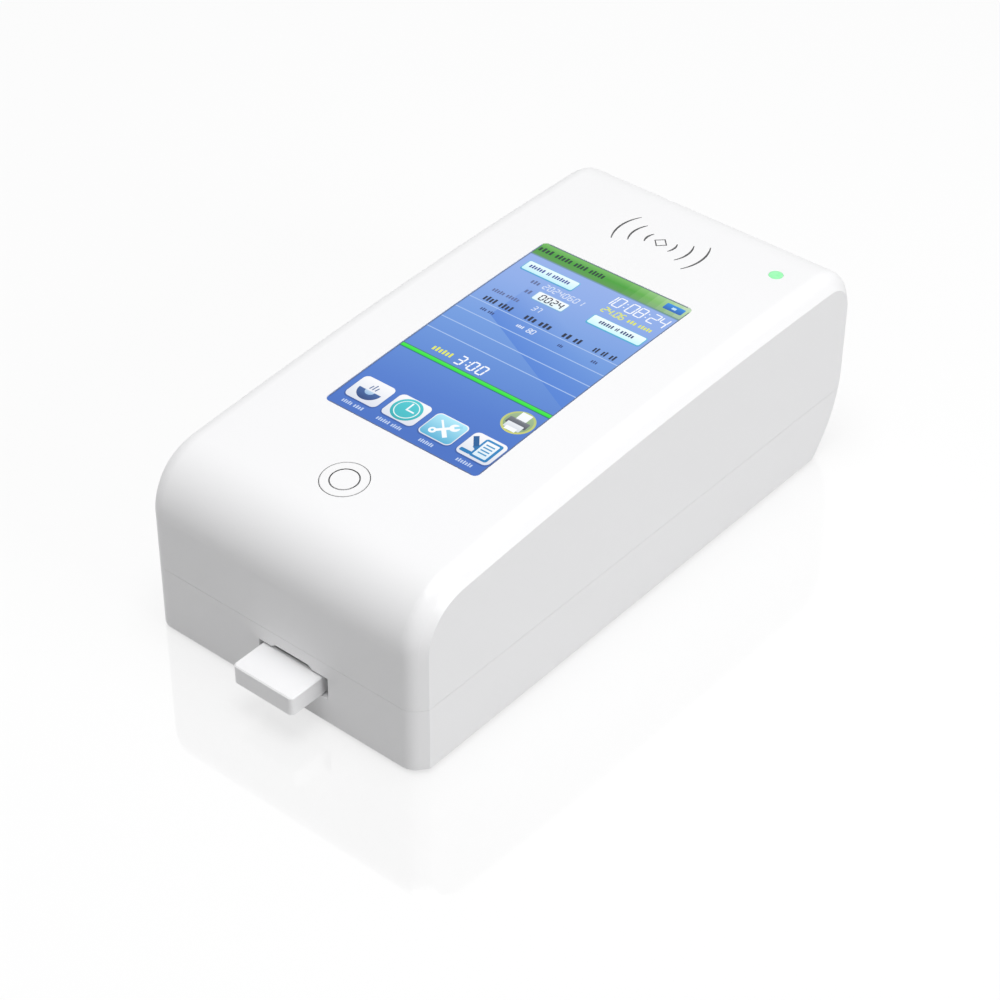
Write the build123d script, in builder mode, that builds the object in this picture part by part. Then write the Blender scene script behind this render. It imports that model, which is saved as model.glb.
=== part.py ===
"""Portable reader for lateral-flow test cards, in millimetres.

+X is right, +Y is rearwards and +Z is up.  The origin lies under the middle of the
whole reader, drawer nose included, at the level of the table.
"""

from build123d import *
from math import asin, atan2, cos, radians, sin, sqrt
import os

os.makedirs("parts", exist_ok=True)

# --- the case ---------------------------------------------------------------
body_width = 98.0
body_length = 195.0
front_height = 56.8       # where the top line would meet the front wall
rear_height = 64.4        # where the top line would meet the rear wall
top_rise = 2.84           # crown of the top line above its chord
front_roll = 18.7         # big rounding from the front wall into the top
rear_roll = 14.0
under_depth = 10.6        # the rear wall curves under by this much at the floor
foot_proud = 0.5          # the feet lift the floor of the case by this much
wall = 2.4
edge_side = 4.3           # flat of the side edge, measured down the side
edge_top = 3.4            # and measured across the top
edge_blend = 5.5          # softens the flat's inner edge
bottom_edge = 0.8
seam_height = 22.0
seam_gap = 0.08
lip_clearance = 0.1
lip_thickness = 1.0
lip_rise = 2.0
lip_root = 3.0
inner_edge = 3.0          # rounding inside the case
post_bury = 1.0           # posts run this far short of the outer skin

# --- the card drawer --------------------------------------------------------
nose_out = 11.6           # how far the drawer's nose stands out at rest
tray_x = 4.0
tray_width = 21.6
tray_thickness = 6.3
tray_bottom = 10.1
tray_corner = 1.5
tray_edge = 0.35
nose_length = 12.6        # plain stretch ahead of the card pocket
pocket_length = 58.0
pocket_width = 15.6
pocket_depth = 3.6
push_hole_radius = 4.0
tray_travel = 62.0        # outwards from rest
tray_return = 11.5        # inwards from rest
slot_width = 25.0
slot_shift = 0.5          # the slot's middle lies this far right of the drawer's
slot_below = 0.4
slot_above = 0.7
notch_base = 14.8
notch_top = 12.0
notch_rise = 1.0

# --- screws -----------------------------------------------------------------
case_screw_radius = 1.5
small_screw_radius = 1.0
screw_clearance = 0.05
head_factor = 1.9         # head radius over shank radius
head_height = 1.6
drive_factor = 0.45       # recess radius over head radius
drive_depth = 0.7

# --- top side fittings ------------------------------------------------------
window_width = 54.4
window_length = 95.4
window_corner = 1.8
window_y = 96.0           # from the front wall to the window's middle
glass_gap = 0.15
glass_sink = 0.25
lcd_width = 67.2
lcd_length = 105.5
lcd_thickness = 3.0
lcd_rim = 1.6
bracket_thickness = 1.0
bracket_rim = 9.0
bracket_ear = 10.0
bracket_post_y = 40.0
post_radius = 3.0
post_gap = 1.4            # between the display's side and a post
board_thickness = 1.6
board_length = 116.0
board_drop = 8.0          # bracket's lower post level to the board's top
board_post_y = 52.0
chip_size = 14.0
chip_height = 1.4
chip_y = 10.0             # on the board, from its middle
memory_length = 10.0
memory_width = 6.0
memory_y = -14.0
memory_pitch = 12.0
socket_length = 22.0
socket_depth = 5.0
socket_height = 2.4
socket_y = 50.0
buzzer_radius = 6.0
buzzer_height = 6.0
buzzer_inset = 15.0       # from the board's left side
buzzer_y = 18.0
button_y = 27.0
button_radius = 6.75
button_gap = 0.25
button_ring_radius = 4.1
button_ring_width = 0.4
button_ring_depth = 0.25
button_flange = 1.25      # holding rim, wider than the cap
button_flange_height = 0.8
button_slack = 0.1
stem_radius = 2.0
stem_length = 3.2
button_travel = 0.6
plunger_radius = 1.6
plunger_length = 2.5
plunger_clearance = 0.05
switch_size = 6.4
switch_height = 3.6
switch_margin = 0.4       # free depth below the plunger when pressed
plunger_engaged = 1.6
button_board_length = 30.0
button_board_width = 14.0
button_post_x = 11.5
pipe_inset = 14.4         # from the case's right side
pipe_y = 173.2
pipe_radius = 2.1
pipe_gap = 0.1
pipe_length = 6.0
pipe_flange = 0.9
pipe_flange_height = 0.8
lamp_size = 3.0
lamp_height = 1.0
lamp_board_width = 10.0
lamp_board_length = 16.0
lamp_post_offset = 6.0
antenna_gap = 2.65        # behind the display
antenna_width = 54.0
antenna_length = 28.0
antenna_thickness = 1.0
antenna_drop = 4.4
antenna_post_x = 22.0
antenna_post_y = 9.0
small_post_radius = 2.5

# --- scanning stage ---------------------------------------------------------
sheet = 1.5
stage_lift = 2.0          # bosses under the stage frame
stage_front = 12.0
stage_left = 26.0
stage_margin = 0.5        # stage plate outside the bridge's leg
ear_left = 20.0
ear_right = 36.0
ear_top = 24.0
ear_window_gap = 1.9      # beside the drawer
ear_window_rise = 2.3     # above the drawer, for a card that stands proud
rod_radius = 2.0
rod_clearance = 0.03
rod_seat_clearance = 0.02
rod_end = 1.5             # rods reach this far through the front ear
left_rod_offset = 18.0
right_rod_offset = 26.0
screw_offset = 16.5
lead_screw_radius = 2.0
nut_clearance = 0.05
bush_wall = 1.5
bush_length = 6.0
nut_radius = 4.0
nut_flange_radius = 4.8
nut_flange_height = 2.0
carriage_length = 18.0
carriage_half_height = 4.8
carriage_side = 5.0
shelf_length = 7.0
shelf_width = 18.0
stage_play = 1.0          # free way left at the ends of the stroke
motor_size = 20.0
motor_length = 28.0
motor_corner = 2.0
motor_screw_pitch = 16.0
motor_bore_depth = 14.0
screw_bush_radius = 3.4
screw_bush_flange = 4.4
screw_bush_flange_height = 1.0
flag_x = 5.5
flag_thickness = 0.8
flag_height = 6.0
flag_length = 5.5
gate_width = 9.0
gate_depth = 4.5
gate_height = 10.0
gate_slot = 2.0
gate_floor = 1.0
stage_boss_radius = 3.5
stage_boss_inset = 5.0

# --- reading head -----------------------------------------------------------
spot_y = 36.0             # from the front wall to the reading spot
bridge_length = 26.0
bridge_leg = 3.6
bridge_gap = 1.0          # between carriage and bridge legs
bridge_deck = 3.0
bridge_clearance = 0.45   # between carriage and deck
deck_window_radius = 5.0
bridge_screw_inset = 7.0
bridge_screw_bite = 6.0
housing_width = 28.0
housing_length = 24.0
housing_height = 19.0
channel_radius = 4.5
side_channel_radius = 3.2
optic_clearance = 0.05
side_channel_height = 11.0
lens_height = 2.0         # its lower rim above the deck
lens_rim = 1.6
lens_crown = 1.2
filter_thickness = 1.5
filter_height = 16.0
mirror_width = 6.0
mirror_length = 8.0
mirror_thickness = 1.0
side_filter_depth = 3.0
side_filter_thickness = 1.2
emitter_radius = 2.5
emitter_reach = 2.2
emitter_board = 13.0
sensor_board_width = 22.0
sensor_board_length = 20.0
sensor_size = 5.0
sensor_height = 1.0

# --- power and rear connections ---------------------------------------------
cell_radius = 9.1
cell_side = 16.5          # from the end of a cell to the case's side
cell_clearance = 0.15
cell_rear_y = 173.6
cell_pitch = 19.1
cradle_floor = 1.5
cradle_end = 1.5
cradle_half_depth = 18.2
cradle_rise = 7.5
bay_width = 68.0
bay_height = 17.0
bay_above = 0.3           # between the panel and the start of the rear rounding
bay_below = 0.1           # between the panel and the start of the under curve
bay_corner = 1.5
panel_lap = 2.1
panel_thickness = 2.0
lug_width = 4.0
lug_thickness = 2.0
lug_length = 10.0
port_board_left = -6.0
port_board_right = 34.0
port_board_length = 16.5
jack_x = 24.0
jack_width = 9.0
jack_depth = 14.0
jack_height = 10.8
jack_axis_height = 6.5
jack_bore_radius = 2.85
jack_bore_depth = 9.5
jack_pin_radius = 1.0
jack_pin_short = 0.6
jack_hole_radius = 3.4
usb_x = 6.0
usb_width = 8.94
usb_height = 3.2
usb_depth = 7.4
usb_skin = 0.3
usb_tongue_width = 6.6
usb_tongue_height = 0.7
usb_sink = 0.2
rocker_x = -22.0
bezel_width = 21.0
bezel_height = 15.0
bezel_thickness = 1.5
frame_width = 18.6
frame_height = 12.6
frame_wall = 0.7
frame_depth = 12.6
panel_play = 0.2
rocker_length = 10.8
rocker_reach = 7.3
rocker_pad = 4.1
rocker_dip = 1.0
rocker_waist = 7.9
rocker_root = 5.0
rocker_sink = 4.7         # pivot below the bezel's face
rocker_tilt = 8.0
rocker_pin_radius = 1.2
rocker_pin_length = 0.85

# --- feet -------------------------------------------------------------------
foot_radius = 5.5
foot_recess = 1.0
foot_edge = 0.3
foot_inset = 13.0
foot_front = 20.0
foot_rear = 172.0
case_post_inset = 7.5
case_post_front = 7.5
case_post_rear = 160.0
case_post_radius = 3.5
case_boss_radius = 4.0
case_bore_radius = 3.2
case_bore_depth = 10.0
case_screw_length = 18.0

# --- places that follow from the sizes --------------------------------------
front_y = -(body_length - nose_out) / 2
rear_y = front_y + body_length
floor_z = foot_proud + wall
axis_z = tray_bottom + tray_thickness / 2
tray_top = tray_bottom + tray_thickness
tip_y = front_y - nose_out
left_rod_x = tray_x - left_rod_offset
right_rod_x = tray_x + right_rod_offset
screw_x = tray_x + screw_offset
stage_z = floor_z + stage_lift
stage_top = stage_z + sheet
ear_y = front_y + stage_front
shelf_y = ear_y + sheet + tray_travel + stage_play
block_y = shelf_y + shelf_length
block_end_y = block_y + carriage_length
rear_ear_y = block_end_y + tray_return + stage_play
stage_end_y = rear_ear_y + sheet
motor_end_y = stage_end_y + motor_length
block_left = left_rod_x - carriage_side
block_right = right_rod_x + carriage_side
block_bottom = axis_z - carriage_half_height
block_top = axis_z + carriage_half_height
deck_z = block_top + bridge_clearance
deck_top = deck_z + bridge_deck
housing_top = deck_top + housing_height
bridge_left = block_left - bridge_gap - bridge_leg
bridge_right = block_right + bridge_gap + bridge_leg
pocket_y = tip_y + nose_length
spot = front_y + spot_y
stage_right = bridge_right + stage_margin
foot_x = body_width / 2 - foot_inset
case_post_x = body_width / 2 - case_post_inset
cell_length = body_width - 2 * cell_side
pipe_x = body_width / 2 - pipe_inset
bracket_post_x = lcd_width / 2 + post_radius + post_gap
board_width = 2 * (bracket_post_x + post_radius)
buzzer_x = buzzer_inset - board_width / 2
antenna_y = window_y + (lcd_length + antenna_length) / 2 + antenna_gap
panel_width = bay_width + 2 * panel_lap
panel_height = bay_height + 2 * panel_lap
bay_middle = rear_height - rear_roll - bay_above - panel_height / 2

under_start = bay_middle - panel_height / 2 - bay_below
under_radius = ((under_start - foot_proud) ** 2 + under_depth**2) / (2 * under_depth)
chord_angle = atan2(rear_height - front_height, body_length)
half_chord = sqrt(body_length**2 + (rear_height - front_height) ** 2) / 2
arch_radius = (half_chord**2 + top_rise**2) / (2 * top_rise)
arch_y = front_y + body_length / 2 + (arch_radius - top_rise) * sin(chord_angle)
arch_z = (front_height + rear_height) / 2 - (arch_radius - top_rise) * cos(chord_angle)


def arch_height(y, inset=0.0):
    """Height of the arched top, or of a line inset below it, at y."""
    return arch_z + sqrt((arch_radius - inset) ** 2 - (y - arch_y) ** 2)


def top_plane(x, y, depth=0.0):
    """A plane square to the arched top at (x, y), sunk by depth along its normal."""
    slope = asin((arch_y - y) / arch_radius)
    normal = Vector(0, -sin(slope), cos(slope))
    return Plane(origin=Vector(x, y, arch_height(y)) - normal * depth, x_dir=(1, 0, 0), z_dir=normal)


def across(y):
    """A plane across the body at y: X to the right, Z up, its normal to the front."""
    return Plane(origin=(0, y, 0), x_dir=(1, 0, 0), z_dir=(0, -1, 0))


def body_form(inset):
    """The body's outer form, or the same form drawn in by inset on every side."""
    low = foot_proud + inset
    front = front_y + inset
    rear = rear_y - inset
    middle = (front + rear) / 2
    under = under_radius - inset
    turn = asin((under_start - low) / under)
    half_way = (rear - under * (1 - cos(turn / 2)), under_start - under * sin(turn / 2))
    rear_foot = (rear - under * (1 - cos(turn)), low)
    front_top = (front, arch_height(front, inset))
    rear_top = (rear, arch_height(rear, inset))
    with BuildPart() as form:
        with BuildSketch(Plane.YZ) as profile:
            with BuildLine():
                ThreePointArc(front_top, (middle, arch_height(middle, inset)), rear_top)
                Line(rear_top, (rear, under_start))
                ThreePointArc((rear, under_start), half_way, rear_foot)
                Line(rear_foot, (front, low))
                Line((front, low), front_top)
            make_face()
            fillet(profile.vertices().sort_by_distance((*front_top, 0))[0], front_roll - inset)
            fillet(profile.vertices().sort_by_distance((*rear_top, 0))[0], rear_roll - inset)
        extrude(amount=body_width / 2 - inset, both=True)
        for end in (0, -1):
            side = form.faces().sort_by(Axis.X)[end]
            rim = side.edges().sort_by(Axis.Z)[1:]
            if inset:
                fillet(rim, inner_edge)
            else:
                chamfer(rim, length=edge_side, length2=edge_top, reference=side)
        if not inset:
            inner = body_width / 2 - edge_top
            for at in (inner, -inner):
                fillet(form.edges().filter_by_position(Axis.X, at - 0.01, at + 0.01), edge_blend)
            chamfer(form.faces().sort_by(Axis.Z)[0].outer_wire().edges(), bottom_edge)
    return form.part


outer_form = body_form(0)
cavity_form = body_form(wall)
post_form = body_form(post_bury)
lip_outside = body_form(wall + lip_clearance)
lip_inside = body_form(wall + lip_clearance + lip_thickness)
lip_foot = body_form(wall - lip_clearance)


def wall_ring(low, high, outside, inside):
    """The stretch of a thin wall between two of the body's forms, from low to high."""
    with BuildPart() as ring:
        with BuildSketch(Plane.XY.offset(low)):
            Rectangle(2 * body_width, 2 * body_length)
        extrude(amount=high - low)
        add(outside, mode=Mode.INTERSECT)
        add(inside, mode=Mode.SUBTRACT)
    return ring.part


def screw(radius, length):
    """A pan-head screw that points up from the origin, its head's seat at z = 0."""
    head = radius * head_factor
    with BuildPart() as one:
        with BuildSketch():
            Circle(radius)
        extrude(amount=length)
        with BuildSketch():
            Circle(head)
        extrude(amount=-head_height)
        fillet(one.faces().sort_by(Axis.Z)[0].edges(), head_height / 3)
        with BuildSketch(Plane.XY.offset(-head_height)):
            RegularPolygon(head * drive_factor, 6)
        extrude(amount=drive_depth, mode=Mode.SUBTRACT)
    return one.part


# The places that several pieces share.
case_places = [
    (side * case_post_x, front_y + y)
    for side in (-1, 1)
    for y in (case_post_front, case_post_rear)
]
foot_places = [(side * foot_x, front_y + y) for side in (-1, 1) for y in (foot_front, foot_rear)]
stage_places = [
    (x, y)
    for x in (-stage_left + stage_boss_inset, stage_right - stage_boss_inset)
    for y in (ear_y + sheet + stage_boss_inset, stage_end_y - stage_boss_inset)
]
bridge_places = [
    (x, spot + side * (bridge_length / 2 - bridge_screw_inset))
    for x in (bridge_left + bridge_leg / 2, bridge_right - bridge_leg / 2)
    for side in (-1, 1)
]
bracket_places = [(x, y) for x in (-bracket_post_x, bracket_post_x) for y in (-bracket_post_y, bracket_post_y)]
board_places = [(x, y) for x in (-bracket_post_x, bracket_post_x) for y in (-board_post_y, board_post_y)]
antenna_places = [(x, y) for x in (-antenna_post_x, antenna_post_x) for y in (-antenna_post_y, antenna_post_y)]
button_places = [(-button_post_x, 0), (button_post_x, 0)]
tray_screw_places = [(tray_x + side * shelf_width / 4, shelf_y + shelf_length / 2) for side in (-1, 1)]
motor_places = [
    (screw_x + dx, axis_z + motor_screw_pitch / 2)
    for dx in (-motor_screw_pitch / 2, motor_screw_pitch / 2)
]

# The display sits square to the arch, under its lowest inner corner.
window_sag = arch_radius - sqrt(arch_radius**2 - (lcd_length / 2) ** 2)
display_depth = wall + window_sag + glass_gap
display_plane = top_plane(0, front_y + window_y, display_depth)
bracket_level = -lcd_thickness
bracket_underside = bracket_level - bracket_thickness
board_level = bracket_level - board_drop
board_underside = board_level - board_thickness
button_plane = top_plane(0, front_y + button_y)
button_underside = -(wall + button_slack + button_flange_height)
switch_top = button_underside - stem_length - plunger_length + plunger_engaged
switch_floor = switch_top - switch_height
switch_bore = plunger_engaged + button_travel + switch_margin
pipe_plane = top_plane(pipe_x, front_y + pipe_y)
lamp_level = -(pipe_length + lamp_height)
antenna_plane = top_plane(0, front_y + antenna_y)
inner_rear = rear_y - wall
panel_back = inner_rear - panel_thickness
port_board_top = bay_middle - jack_axis_height
pivot_y = inner_rear + bezel_thickness - rocker_sink


def on(plane, depth):
    """The same plane moved along its own normal."""
    return plane.offset(depth)


# Posts that hang from the top cover, trimmed so that none shows through the skin.
with BuildPart() as cover_posts:
    with BuildSketch(Plane.XY.offset(seam_height + seam_gap)):
        with Locations(*case_places):
            Circle(case_post_radius)
    extrude(amount=rear_height)
    with BuildSketch(on(display_plane, bracket_level)):
        with Locations(*bracket_places):
            Circle(post_radius)
    extrude(amount=lcd_thickness + display_depth)
    with BuildSketch(on(display_plane, board_level)):
        with Locations(*board_places):
            Circle(post_radius)
    extrude(amount=board_drop + lcd_thickness + display_depth)
    with BuildSketch(on(button_plane, switch_floor)):
        with Locations(*button_places):
            Circle(small_post_radius)
    extrude(amount=-switch_floor)
    with BuildSketch(on(pipe_plane, lamp_level)):
        with Locations((0, -lamp_post_offset)):
            Circle(small_post_radius)
    extrude(amount=-lamp_level)
    with BuildSketch(on(antenna_plane, -antenna_drop)):
        with Locations(*antenna_places):
            Circle(small_post_radius)
    extrude(amount=antenna_drop)
    add(post_form, mode=Mode.INTERSECT)

with BuildPart() as top_cover:
    add(outer_form)
    add(cavity_form, mode=Mode.SUBTRACT)
    split(bisect_by=Plane.XY.offset(seam_height + seam_gap), keep=Keep.TOP)
    add(cover_posts.part)
    with BuildSketch(display_plane):
        RectangleRounded(window_width, window_length, window_corner)
    extrude(amount=2 * display_depth, both=True, mode=Mode.SUBTRACT)
    with BuildSketch(button_plane):
        Circle(button_radius + button_gap)
    extrude(amount=2 * wall, both=True, mode=Mode.SUBTRACT)
    with BuildSketch(pipe_plane):
        Circle(pipe_radius + pipe_gap)
    extrude(amount=2 * wall, both=True, mode=Mode.SUBTRACT)
    with BuildSketch(across(rear_y + wall)):
        with Locations((0, bay_middle)):
            RectangleRounded(bay_width, bay_height, bay_corner)
    extrude(amount=3 * wall, mode=Mode.SUBTRACT)
    with BuildSketch(Plane.XY.offset(seam_height + seam_gap)):
        with Locations(*case_places):
            Circle(case_screw_radius + screw_clearance)
    extrude(amount=case_screw_length, mode=Mode.SUBTRACT)
    for plane, level, places, depth in (
        (display_plane, bracket_level, bracket_places, lcd_thickness),
        (display_plane, board_level, board_places, board_drop),
        (antenna_plane, -antenna_drop, antenna_places, antenna_drop - wall),
        (button_plane, switch_floor, button_places, switch_height),
    ):
        with BuildSketch(on(plane, level)):
            with Locations(*places):
                Circle(small_screw_radius + screw_clearance)
        extrude(amount=depth, mode=Mode.SUBTRACT)
top_cover.part.label = "top_cover"
export_step(top_cover.part, "parts/top_cover.step")


lip_base = wall_ring(seam_height - lip_root, seam_height, lip_foot, lip_inside)
lip_tongue = wall_ring(seam_height - lip_root, seam_height + lip_rise, lip_outside, lip_inside)

with BuildPart() as bottom_cover:
    add(outer_form)
    add(cavity_form, mode=Mode.SUBTRACT)
    split(bisect_by=Plane.XY.offset(seam_height), keep=Keep.BOTTOM)
    add(lip_base)
    add(lip_tongue)
    with BuildSketch(Plane.XY.offset(floor_z - lip_clearance)):
        with Locations(*case_places):
            Circle(case_boss_radius)
    extrude(amount=seam_height - floor_z + lip_clearance)
    with BuildSketch(Plane.XY.offset(floor_z - lip_clearance)):
        with Locations(*stage_places):
            Circle(stage_boss_radius)
    extrude(amount=stage_lift + lip_clearance)
    with BuildSketch(across(front_y + 2 * wall)) as slot:
        with Locations((tray_x + slot_shift, axis_z + (slot_above - slot_below) / 2)):
            Rectangle(slot_width, tray_thickness + slot_above + slot_below)
        with BuildLine():
            Polyline(
                (tray_x - notch_base / 2, tray_top),
                (tray_x - notch_base / 2, tray_top + slot_above),
                (tray_x - notch_top / 2, tray_top + slot_above + notch_rise),
                (tray_x + notch_top / 2, tray_top + slot_above + notch_rise),
                (tray_x + notch_base / 2, tray_top + slot_above),
                (tray_x + notch_base / 2, tray_top),
                close=True,
            )
        make_face()
    extrude(amount=4 * wall, mode=Mode.SUBTRACT)
    with BuildSketch(across(inner_rear)):
        with Locations((0, bay_middle)):
            Rectangle(panel_width + 2 * panel_play, panel_height + 2 * panel_play)
    extrude(amount=panel_thickness + panel_play, mode=Mode.SUBTRACT)
    with BuildSketch():
        with Locations(*case_places):
            Circle(case_bore_radius)
    extrude(amount=foot_proud + case_bore_depth, mode=Mode.SUBTRACT)
    with BuildSketch():
        with Locations(*case_places):
            Circle(case_screw_radius + screw_clearance)
    extrude(amount=seam_height, mode=Mode.SUBTRACT)
    with BuildSketch():
        with Locations(*foot_places):
            Circle(foot_radius + screw_clearance)
    extrude(amount=foot_proud + foot_recess, mode=Mode.SUBTRACT)
    with BuildSketch(Plane.XY.offset(stage_z)):
        with Locations(*stage_places):
            Circle(small_screw_radius + screw_clearance)
    extrude(amount=-stage_lift - wall / 2, mode=Mode.SUBTRACT)
bottom_cover.part.label = "bottom_cover"
export_step(bottom_cover.part, "parts/bottom_cover.step")

with BuildPart() as feet:
    with BuildSketch():
        with Locations(*foot_places):
            Circle(foot_radius)
    extrude(amount=foot_proud + foot_recess)
    chamfer(feet.edges().group_by(Axis.Z)[0], foot_edge)
feet.part.label = "feet"
export_step(feet.part, "parts/feet.step")

# --- display and boards under the top ---------------------------------------
with BuildPart() as display_glass:
    with BuildSketch(display_plane):
        RectangleRounded(window_width - 2 * glass_gap, window_length - 2 * glass_gap, window_corner)
    extrude(amount=2 * display_depth)
    add(body_form(glass_sink), mode=Mode.INTERSECT)
display_glass.part.label = "display_glass"
export_step(display_glass.part, "parts/display_glass.step")

with BuildPart() as lcd_module:
    with BuildSketch(display_plane):
        Rectangle(lcd_width, lcd_length)
    extrude(amount=-lcd_thickness)
    fillet(lcd_module.edges().filter_by(Axis(display_plane.origin, display_plane.z_dir)), lcd_rim)
lcd_module.part.label = "lcd_module"
export_step(lcd_module.part, "parts/lcd_module.step")

with BuildPart() as lcd_bracket:
    with BuildSketch(on(display_plane, bracket_level)):
        Rectangle(lcd_width, lcd_length)
        with Locations((0, -bracket_post_y), (0, bracket_post_y)):
            Rectangle(board_width, bracket_ear)
        Rectangle(lcd_width - 2 * bracket_rim, lcd_length - 2 * bracket_rim, mode=Mode.SUBTRACT)
        with Locations(*bracket_places):
            Circle(small_screw_radius + screw_clearance, mode=Mode.SUBTRACT)
    extrude(amount=-bracket_thickness)
lcd_bracket.part.label = "lcd_bracket"
export_step(lcd_bracket.part, "parts/lcd_bracket.step")

with BuildPart() as main_board:
    with BuildSketch(on(display_plane, board_level)):
        Rectangle(board_width, board_length)
        with Locations(*board_places):
            Circle(small_screw_radius + screw_clearance, mode=Mode.SUBTRACT)
    extrude(amount=-board_thickness)
    with BuildSketch(on(display_plane, board_level)):
        with Locations((0, chip_y)):
            Rectangle(chip_size, chip_size)
        with Locations((-memory_pitch / 2, memory_y), (memory_pitch / 2, memory_y)):
            Rectangle(memory_width, memory_length)
    extrude(amount=chip_height)
    with BuildSketch(on(display_plane, board_underside)):
        with Locations((0, socket_y)):
            Rectangle(socket_length, socket_depth)
    extrude(amount=-socket_height)
main_board.part.label = "main_board"
export_step(main_board.part, "parts/main_board.step")

with BuildPart() as buzzer:
    with BuildSketch(on(display_plane, board_underside)):
        with Locations((buzzer_x, buzzer_y)):
            Circle(buzzer_radius)
    extrude(amount=-buzzer_height)
    with BuildSketch(on(display_plane, board_underside - buzzer_height)):
        with Locations((buzzer_x, buzzer_y)):
            Circle(buzzer_radius / 4)
    extrude(amount=buzzer_height / 2, mode=Mode.SUBTRACT)
buzzer.part.label = "buzzer"
export_step(buzzer.part, "parts/buzzer.step")

bracket_screw = screw(small_screw_radius, bracket_thickness + lcd_thickness / 2)
board_screw = screw(small_screw_radius, board_thickness + board_drop / 2)
with BuildPart() as board_screws:
    with Locations(on(display_plane, bracket_underside)):
        with Locations(*bracket_places):
            add(bracket_screw)
    with Locations(on(display_plane, board_underside)):
        with Locations(*board_places):
            add(board_screw)
board_screws.part.label = "board_screws"
export_step(board_screws.part, "parts/board_screws.step")

# --- button and indicator ---------------------------------------------------
with BuildPart() as button_cap:
    with BuildSketch(button_plane):
        Circle(button_radius)
    extrude(amount=button_underside)
    with BuildSketch(on(button_plane, button_underside)):
        Circle(button_radius + button_flange)
    extrude(amount=button_flange_height)
    with BuildSketch(on(button_plane, button_underside)):
        Circle(stem_radius)
    extrude(amount=-stem_length)
    with BuildSketch(button_plane):
        Circle(button_ring_radius + button_ring_width / 2)
        Circle(button_ring_radius - button_ring_width / 2, mode=Mode.SUBTRACT)
    extrude(amount=-button_ring_depth, mode=Mode.SUBTRACT)
button_cap.part.label = "button_cap"
export_step(button_cap.part, "parts/button_cap.step")

with BuildPart() as switch_plunger:
    with BuildSketch(on(button_plane, button_underside - stem_length)):
        Circle(plunger_radius)
    extrude(amount=-plunger_length)
switch_plunger.part.label = "switch_plunger"
export_step(switch_plunger.part, "parts/switch_plunger.step")

with BuildPart() as button_switch:
    with BuildSketch(on(button_plane, switch_top)):
        Rectangle(switch_size, switch_size)
    extrude(amount=-switch_height)
    with BuildSketch(on(button_plane, switch_top)):
        Circle(plunger_radius + plunger_clearance)
    extrude(amount=-switch_bore, mode=Mode.SUBTRACT)
button_switch.part.label = "button_switch"
export_step(button_switch.part, "parts/button_switch.step")

with BuildPart() as button_board:
    with BuildSketch(on(button_plane, switch_floor)):
        Rectangle(button_board_length, button_board_width)
        with Locations(*button_places):
            Circle(small_screw_radius + screw_clearance, mode=Mode.SUBTRACT)
    extrude(amount=-board_thickness)
button_board.part.label = "button_board"
export_step(button_board.part, "parts/button_board.step")

with BuildPart() as light_pipe:
    with BuildSketch(pipe_plane):
        Circle(pipe_radius)
    extrude(amount=-pipe_length)
    with BuildSketch(on(pipe_plane, -wall - pipe_gap)):
        Circle(pipe_radius + pipe_flange)
    extrude(amount=-pipe_flange_height)
light_pipe.part.label = "light_pipe"
export_step(light_pipe.part, "parts/light_pipe.step")

with BuildPart() as led_board:
    with BuildSketch(on(pipe_plane, lamp_level)):
        Rectangle(lamp_board_width, lamp_board_length)
    extrude(amount=-board_thickness)
    with BuildSketch(on(pipe_plane, lamp_level)):
        Rectangle(lamp_size, lamp_size)
    extrude(amount=lamp_height)
led_board.part.label = "led_board"
export_step(led_board.part, "parts/led_board.step")

with BuildPart() as antenna_board:
    with BuildSketch(on(antenna_plane, -antenna_drop)):
        Rectangle(antenna_width, antenna_length)
        with Locations(*antenna_places):
            Circle(small_screw_radius + screw_clearance, mode=Mode.SUBTRACT)
    extrude(amount=-antenna_thickness)
antenna_board.part.label = "antenna_board"
export_step(antenna_board.part, "parts/antenna_board.step")

antenna_screw = screw(small_screw_radius, antenna_thickness + (antenna_drop - wall) / 2)
button_screw = screw(small_screw_radius, board_thickness + switch_height / 2)
with BuildPart() as small_board_screws:
    with Locations(on(antenna_plane, -antenna_drop - antenna_thickness)):
        with Locations(*antenna_places):
            add(antenna_screw)
    with Locations(on(button_plane, switch_floor - board_thickness)):
        with Locations(*button_places):
            add(button_screw)
small_board_screws.part.label = "small_board_screws"
export_step(small_board_screws.part, "parts/small_board_screws.step")

# --- the scanning stage -----------------------------------------------------
rod_places = [(left_rod_x, axis_z), (right_rod_x, axis_z)]
ear_span = ear_left + ear_right
ear_middle = (ear_right - ear_left) / 2

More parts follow.
